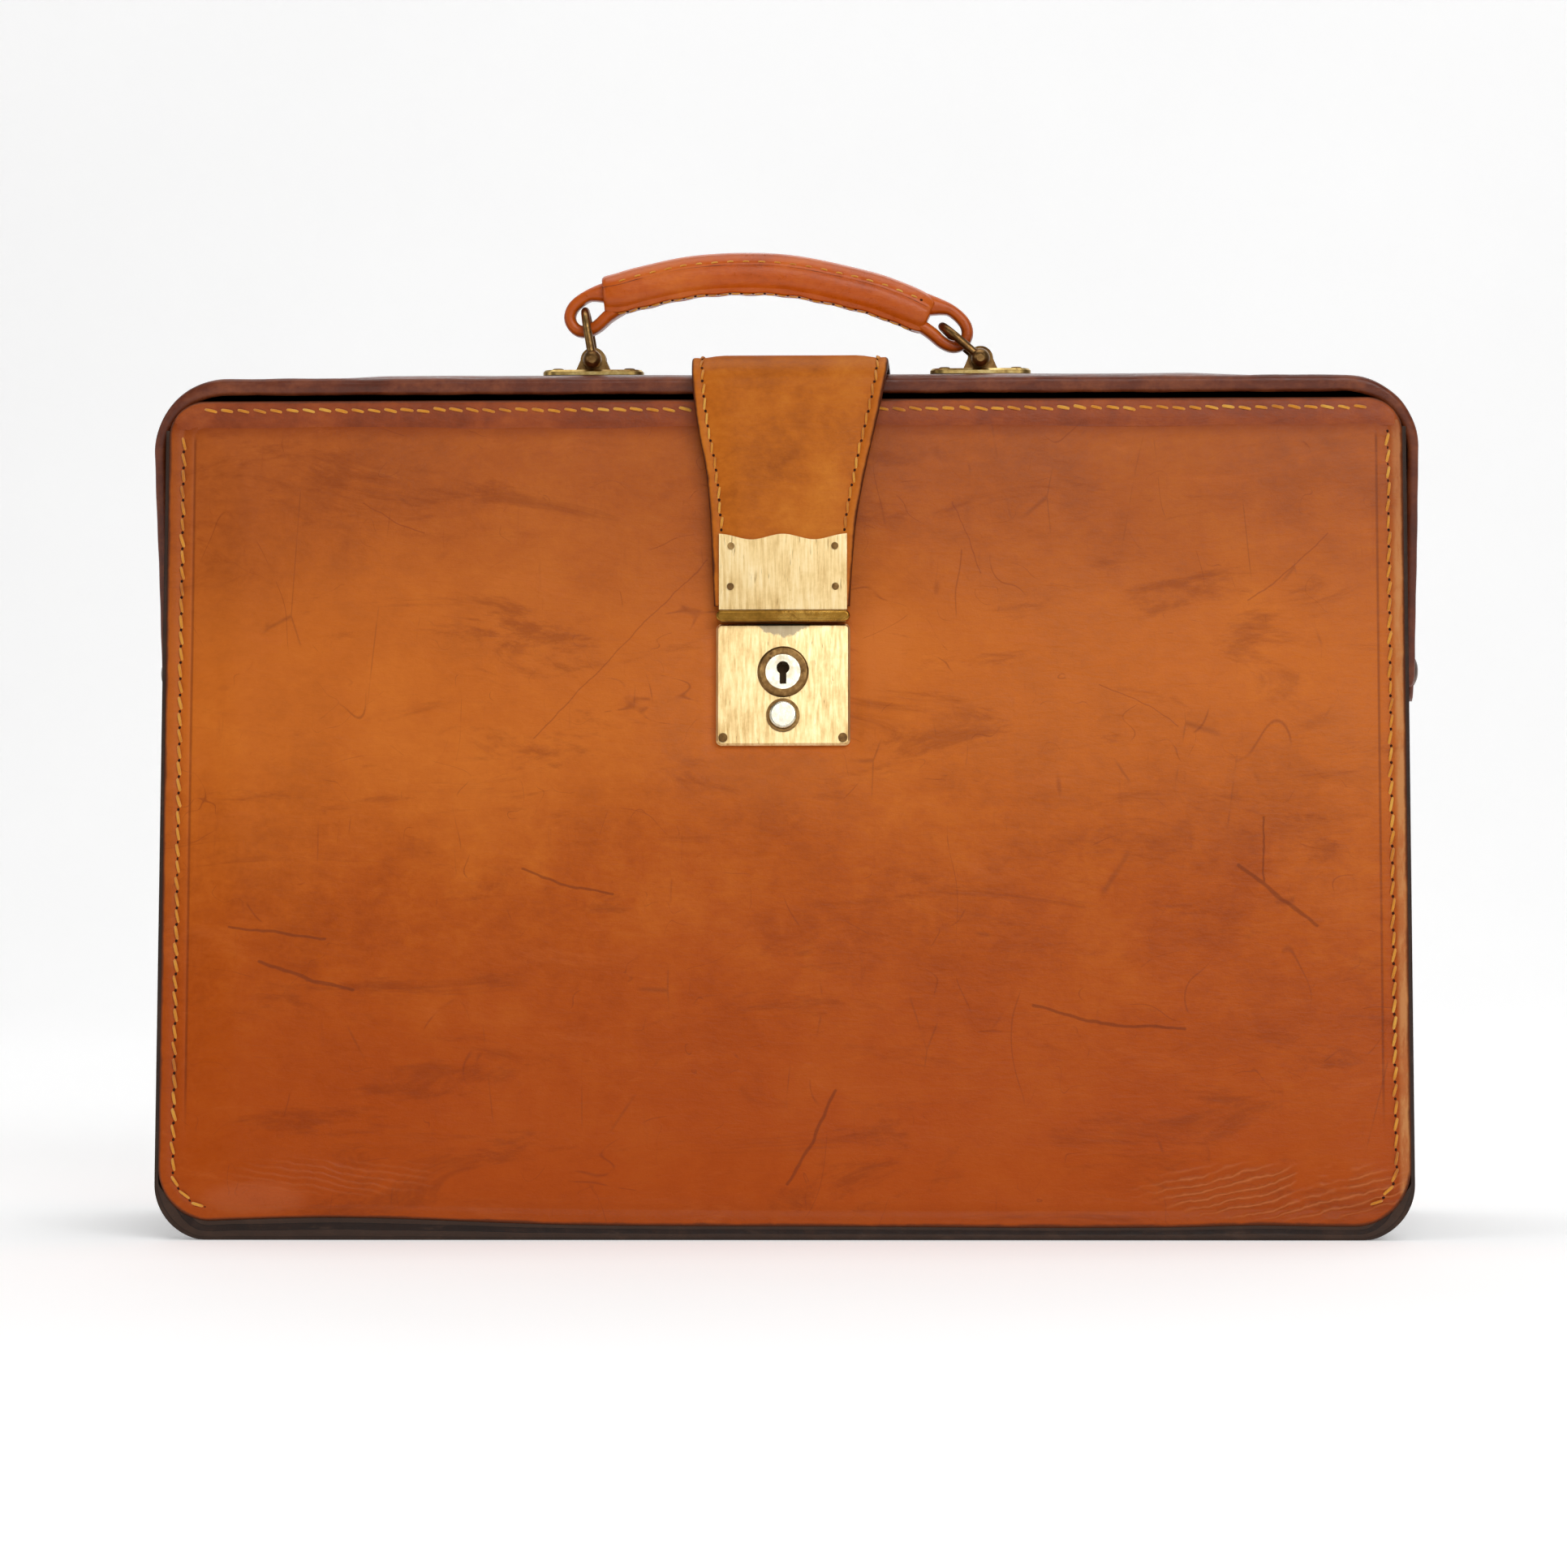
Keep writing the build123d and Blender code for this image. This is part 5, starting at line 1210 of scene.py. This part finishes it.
def strap_mesh():
    n = len(SL_PTS)
    tan = np.gradient(SL_PTS, axis=0)
    tan /= np.linalg.norm(tan, axis=1)[:, None]
    nor = np.stack([-tan[:, 1], tan[:, 0]], 1) * -1        # outwards
    front_part = SL_PTS[:, 0] < -30
    hw = np.where(front_part, np.interp(SL_PTS[:, 1], ZW, WW), 35.0)
    cx = np.where(front_part, np.interp(SL_PTS[:, 1], ZW, CX), 2.3)
    hw = np.convolve(np.pad(hw, 6, mode="edge"), np.ones(13) / 13, mode="valid")
    cx = np.convolve(np.pad(cx, 6, mode="edge"), np.ones(13) / 13, mode="valid")
    f = np.array([0, 0.12, 0.35, 0.7, 1.1, 1.8, 2.6, 3.3, 3.9, 4.6, 5.4, 6.6, 8.5, 11.5, 15.5])
    u = np.concatenate([f, np.linspace(19, 35, 6)])
    Ps, Qs, Ds = [], [], []
    for i in range(n):
        w = hw[i]
        d = u * (w / 35.0)
        xs = np.concatenate([-w + d, (w - d[:-1])[::-1]])
        e = w - np.abs(xs)
        r = 1.1
        off = -(r - np.sqrt(np.maximum(0, r * r - (r - np.minimum(e, r)) ** 2)))
        off += -0.28 * np.exp(-((e - 3.7) / 0.9) ** 2)
        k = np.clip((e - 4) / 7.0, 0, 1)
        off += 0.75 * k * k * (3 - 2 * k)
        s = i / n * 190.0
        off += 0.05 * np.sin(xs / 9 + s / 13) * np.sin(s / 8)
        # the tail's and the hem's cut ends
        off -= 0.8 * (1 - min(1.0, i / 3.0)) ** 2
        y = SL_PTS[i, 0] + nor[i, 0] * off
        z = SL_PTS[i, 1] + nor[i, 1] * off
        Ps.append(np.stack([cx[i] + xs, y, z], -1))
        t = 3.5
        y = SL_PTS[i, 0] - nor[i, 0] * t + 0 * xs
        z = SL_PTS[i, 1] - nor[i, 1] * t + 0 * xs
        Qs.append(np.stack([cx[i] + xs, y, z], -1))
        Ds.append(e)
    P, Q, D = np.array(Ps), np.array(Qs), np.array(Ds)
    return shell("strap_leather_piece", P, Q, M_STRAP, attrs={"edge": (D, 0 * D)}), cx, hw, nor


st, s_cx, s_hw, s_nor = strap_mesh()
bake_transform(st)
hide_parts("strap", "strap_anchor")
for sgn, nm in ((-1, "strap_seam_left"), (1, "strap_seam_right")):
    sel = (np.arange(len(SL_PTS)) > 6) & (SL_PTS[:, 1] > np.where(SL_PTS[:, 0] < 0, 249.5, 0))
    x = s_cx + sgn * (s_hw - 3.7)
    pts = np.stack([x, SL_PTS[:, 0] - s_nor[:, 0] * 0.2, SL_PTS[:, 1] - s_nor[:, 1] * 0.2], 1)[sel]
    nn = np.stack([0 * x, s_nor[:, 0], s_nor[:, 1]], 1)[sel]
    o = stitch_row(nm, pts, nn, flip=sgn, pitch=5.4, length=4.4, r=0.46)
    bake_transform(o)

# ------------------------------------------------------------------ handle
GP = [(-66.5, 337.2), (-60.0, 337.9), (-52.0, 340.0), (-34.4, 343.6), (-15.5, 344.7), (3.4, 343.5), (28.4, 338.0),
      (42.0, 333.2), (51.5, 328.9)]


def grip():
    n = 150
    P = smooth_path(GP, n)
    T = np.gradient(P, axis=0)
    T /= np.linalg.norm(T, axis=1)[:, None]
    N = np.stack([-T[:, 1], T[:, 0]], 1)         # up
    m_ = 72
    rings, edge = [], []
    seam_f, seam_n, low_f, low_n = [], [], [], []
    for i in range(n):
        f = i / (n - 1)
        end = min(f, 1 - f)
        q = 1 - min(1.0, end / 0.085)
        grow = 0.80 + 0.20 * math.sqrt(max(0.0, 1 - q * q))
        a_y, a_n = 8.4 * (0.3 + 0.7 * grow), 7.7 * grow
        ring, ed = [], []
        for q in range(m_):
            a = 2 * math.pi * q / m_               # 0 = back, 90 = top, 180 = front, 270 = underside
            c, s = math.cos(a), math.sin(a)
            y = math.copysign(abs(c) ** 0.86, c) * a_y
            v = math.copysign(abs(s) ** 0.86, s) * a_n
            # flatter front face below the seam; the upper layer steps over it
            deg = math.degrees(a)
            step = 0.0
            if 20 < deg < 158:
                step = 0.55
            elif 158 <= deg < 163:
                step = 0.55 * (163 - deg) / 5
            elif 15 < deg <= 20:
                step = 0.55 * (deg - 15) / 5
            lip = 1.3 * math.exp(-((deg - 228) / 5.0) ** 2) + 1.0 * math.exp(-((deg - 312) / 6.0) ** 2)
            lip *= 1 + 0.25 * math.sin(f * 60)
            under = -0.9 * math.exp(-((deg - 270) / 26.0) ** 2)
            r = math.hypot(y, v)
            k = (r + step + lip + under) / r
            y, v = y * k, v * k
            ring.append((P[i, 0] + N[i, 0] * v, y, P[i, 1] + N[i, 1] * v))
            ed.append(min(0.25 + abs(deg - 160) * 0.34, 0.2 + abs(deg - 228) * 0.22, 3.0))
        # front is -Y, so 180 degrees is the front
        ring = [(x, yy, zz) for (x, yy, zz) in ring]
        rings.append(ring)
        edge.append(ed)
        for deg, L, M in ((151.0, seam_f, seam_n), (233.0, low_f, low_n)):
            a = math.radians(deg)
            c, s = math.cos(a), math.sin(a)
            y = math.copysign(abs(c) ** 0.86, c) * a_y
            v = math.copysign(abs(s) ** 0.86, s) * a_n
            r = math.hypot(y, v)
            ex = 0.55 if deg < 160 else 1.0
            k = (r + ex - 0.12) / r
            y, v = y * k, v * k
            L.append((P[i, 0] + N[i, 0] * v, y, P[i, 1] + N[i, 1] * v))
            nn = np.array([N[i, 0] * s, c, N[i, 1] * s])
            M.append(nn / np.linalg.norm(nn))
    R = np.array(rings)
    o = tube("handle_grip_leather", R, M_HANDLE, attrs={"edge": np.array(edge)})
    return o, np.array(seam_f), np.array(seam_n), np.array(low_f), np.array(low_n)


gr, sf, sn, lf, ln = grip()
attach(gr, "handle")
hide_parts("handle_grip")
o = stitch_row("handle_seam", sf[6:-6], sn[6:-6], pitch=5.6, length=3.0, r=0.32, slant=2, lift=0.02, jitter=0.05, depth=0.4)
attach(o, "handle")
o = stitch_row("handle_lower_seam", lf[5:-5], ln[5:-5], pitch=4.2, length=3.6, r=0.34, slant=3, lift=0.02, jitter=0.1, depth=0.3)
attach(o, "handle")


def eye(name, pts, inward, w0=5.0):
    n, m_ = 80, 22
    P = smooth_path(pts, n)
    T = np.gradient(P, axis=0)
    T /= np.linalg.norm(T, axis=1)[:, None]
    N = np.stack([-T[:, 1], T[:, 0]], 1)
    rings, ed = [], []
    for i in range(n):
        f = i / (n - 1)
        k = abs(2 * f - 1)
        w = w0 + 1.6 * np.clip((k - 0.45) / 0.4, 0, 1)
        # the upper run thickens towards the cover, until it nearly closes the eye there
        th = 2.15 + ((2.8 if inward > 0 else 2.2) * np.clip(k / 0.26, 0, 1) ** 1.2 if f < 0.5 else 0.2 * np.clip((k - 0.36) / 0.42, 0, 1) ** 1.6)
        sh = inward * (th - 2.15)
        ring, e1 = [], []
        for q in range(m_):
            a = 2 * math.pi * q / m_
            c, s = math.cos(a), math.sin(a)
            y = math.copysign(abs(c) ** 0.55, c) * w
            v = math.copysign(abs(s) ** 0.7, s) * th
            ring.append((P[i, 0] + N[i, 0] * (v + sh), y, P[i, 1] + N[i, 1] * (v + sh)))
            e1.append(2.0)
        rings.append(ring)
        ed.append(e1)
    return tube(name, np.array(rings), M_HANDLE, attrs={"edge": np.array(ed)})


L_EYE = [(-38.0, 345.6), (-48.0, 344.6), (-57.0, 342.9), (-65.0, 340.6), (-72.0, 337.6), (-77.2, 333.8), (-78.9, 329.4), (-77.0, 325.6),
         (-73.4, 324.4), (-69.0, 326.2), (-64.5, 330.0), (-59.0, 333.4)]
R_EYE = [(26.0, 343.3), (35.0, 340.9), (45.0, 337.7), (53.5, 334.6), (60.0, 331.4), (64.4, 327.2), (65.6, 323.0), (63.8, 319.6),
         (60.4, 318.4), (56.4, 320.0), (52.0, 323.6), (46.0, 327.6)]
for name, pts, node, inw in (("left_handle_eye", L_EYE, "left_handle_loop", 1), ("right_handle_eye", R_EYE, "right_handle_loop", -1)):
    o = eye(name, pts, inw)
    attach(o, "handle")
    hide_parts(node)

# ------------------------------------------------------------------ metal parts keep their CAD shapes
PAINT = {
    "left_handle_plate": M_PLATE, "right_handle_plate": M_PLATE, "handle_plate_rivets": M_AGED,
    "left_knuckle": M_AGED, "right_knuckle": M_AGED, "left_shackle": M_AGED, "right_shackle": M_AGED,
    "left_shackle_pin": M_AGED, "right_shackle_pin": M_AGED,
    "left_stud": M_STUD, "right_stud": M_STUD, "stud_washers": M_STEEL, "pivot_spacers": M_STEEL,
    "rear_frame": M_BLACK, "front_frame": M_BLACK,
    "hasp_plate": M_BRASS, "hasp_lip": M_LIP, "hasp_rivets": M_AGED, "hasp_staple": M_STEEL,
    "lock_plate": M_BRASS, "lock_case": M_STEEL, "lock_backplate": M_STEEL, "lock_pins": M_AGED,
    "cylinder_collar": M_AGED, "key_plug": M_NICKEL, "button_rim": M_AGED, "push_button": M_NICKEL,
    "button_spring": M_STEEL, "latch_bolt": M_STEEL, "latch_spring": M_STEEL,
    "handle_core": M_DARK, "base_board": M_BOARD,
}
for node, m_ in PAINT.items():
    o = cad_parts[node] if not isinstance(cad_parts[node], str) else bpy.data.objects[node]
    if not o.material_slots:
        o.data.materials.append(m_)
    for sl in o.material_slots:
        sl.material = m_

# ------------------------------------------------------------------ floor and backdrop
fl = NT("floor_paper")
fl.coords(True)
fc = fl.ramp(fl.noise(3, 3), [(0.3, (0.93, 0.93, 0.93)), (0.7, (0.95, 0.95, 0.95))])
fs = fl.node("ShaderNodeSeparateXYZ")
fl.put(fs.inputs[0], fl.co)
fc = fl.mix(fl.span(fs.outputs[1], -2.2, -0.95, 1.0, 0.0), fc, (0.45, 0.45, 0.45))
fl.finish(fc, 0.9, fl.bump(fl.noise(300, 3), 0.0002, 0.1), spec=0.1)
fl.put(fl.bsdf.inputs["Emission Color"], fc)
fl.bsdf.inputs["Emission Strength"].default_value = 0.26
nfl = 40
prof = [(-4000.0, 0.0), (1400.0, 0.0)] + [(1400 + 900 * math.sin(t), 900 - 900 * math.cos(t)) for t in
                                         np.linspace(0.05, math.pi / 2, 24)] + [(2300.0, 4500.0)]
V, F = [], []
for y, z in prof:
    V += [(-5000.0, y, z - 0.05), (5000.0, y, z - 0.05)]
for i in range(len(prof) - 1):
    F.append((2 * i, 2 * i + 1, 2 * i + 3, 2 * i + 2))
floor = make_mesh("floor_sweep", V, F, fl.mat)
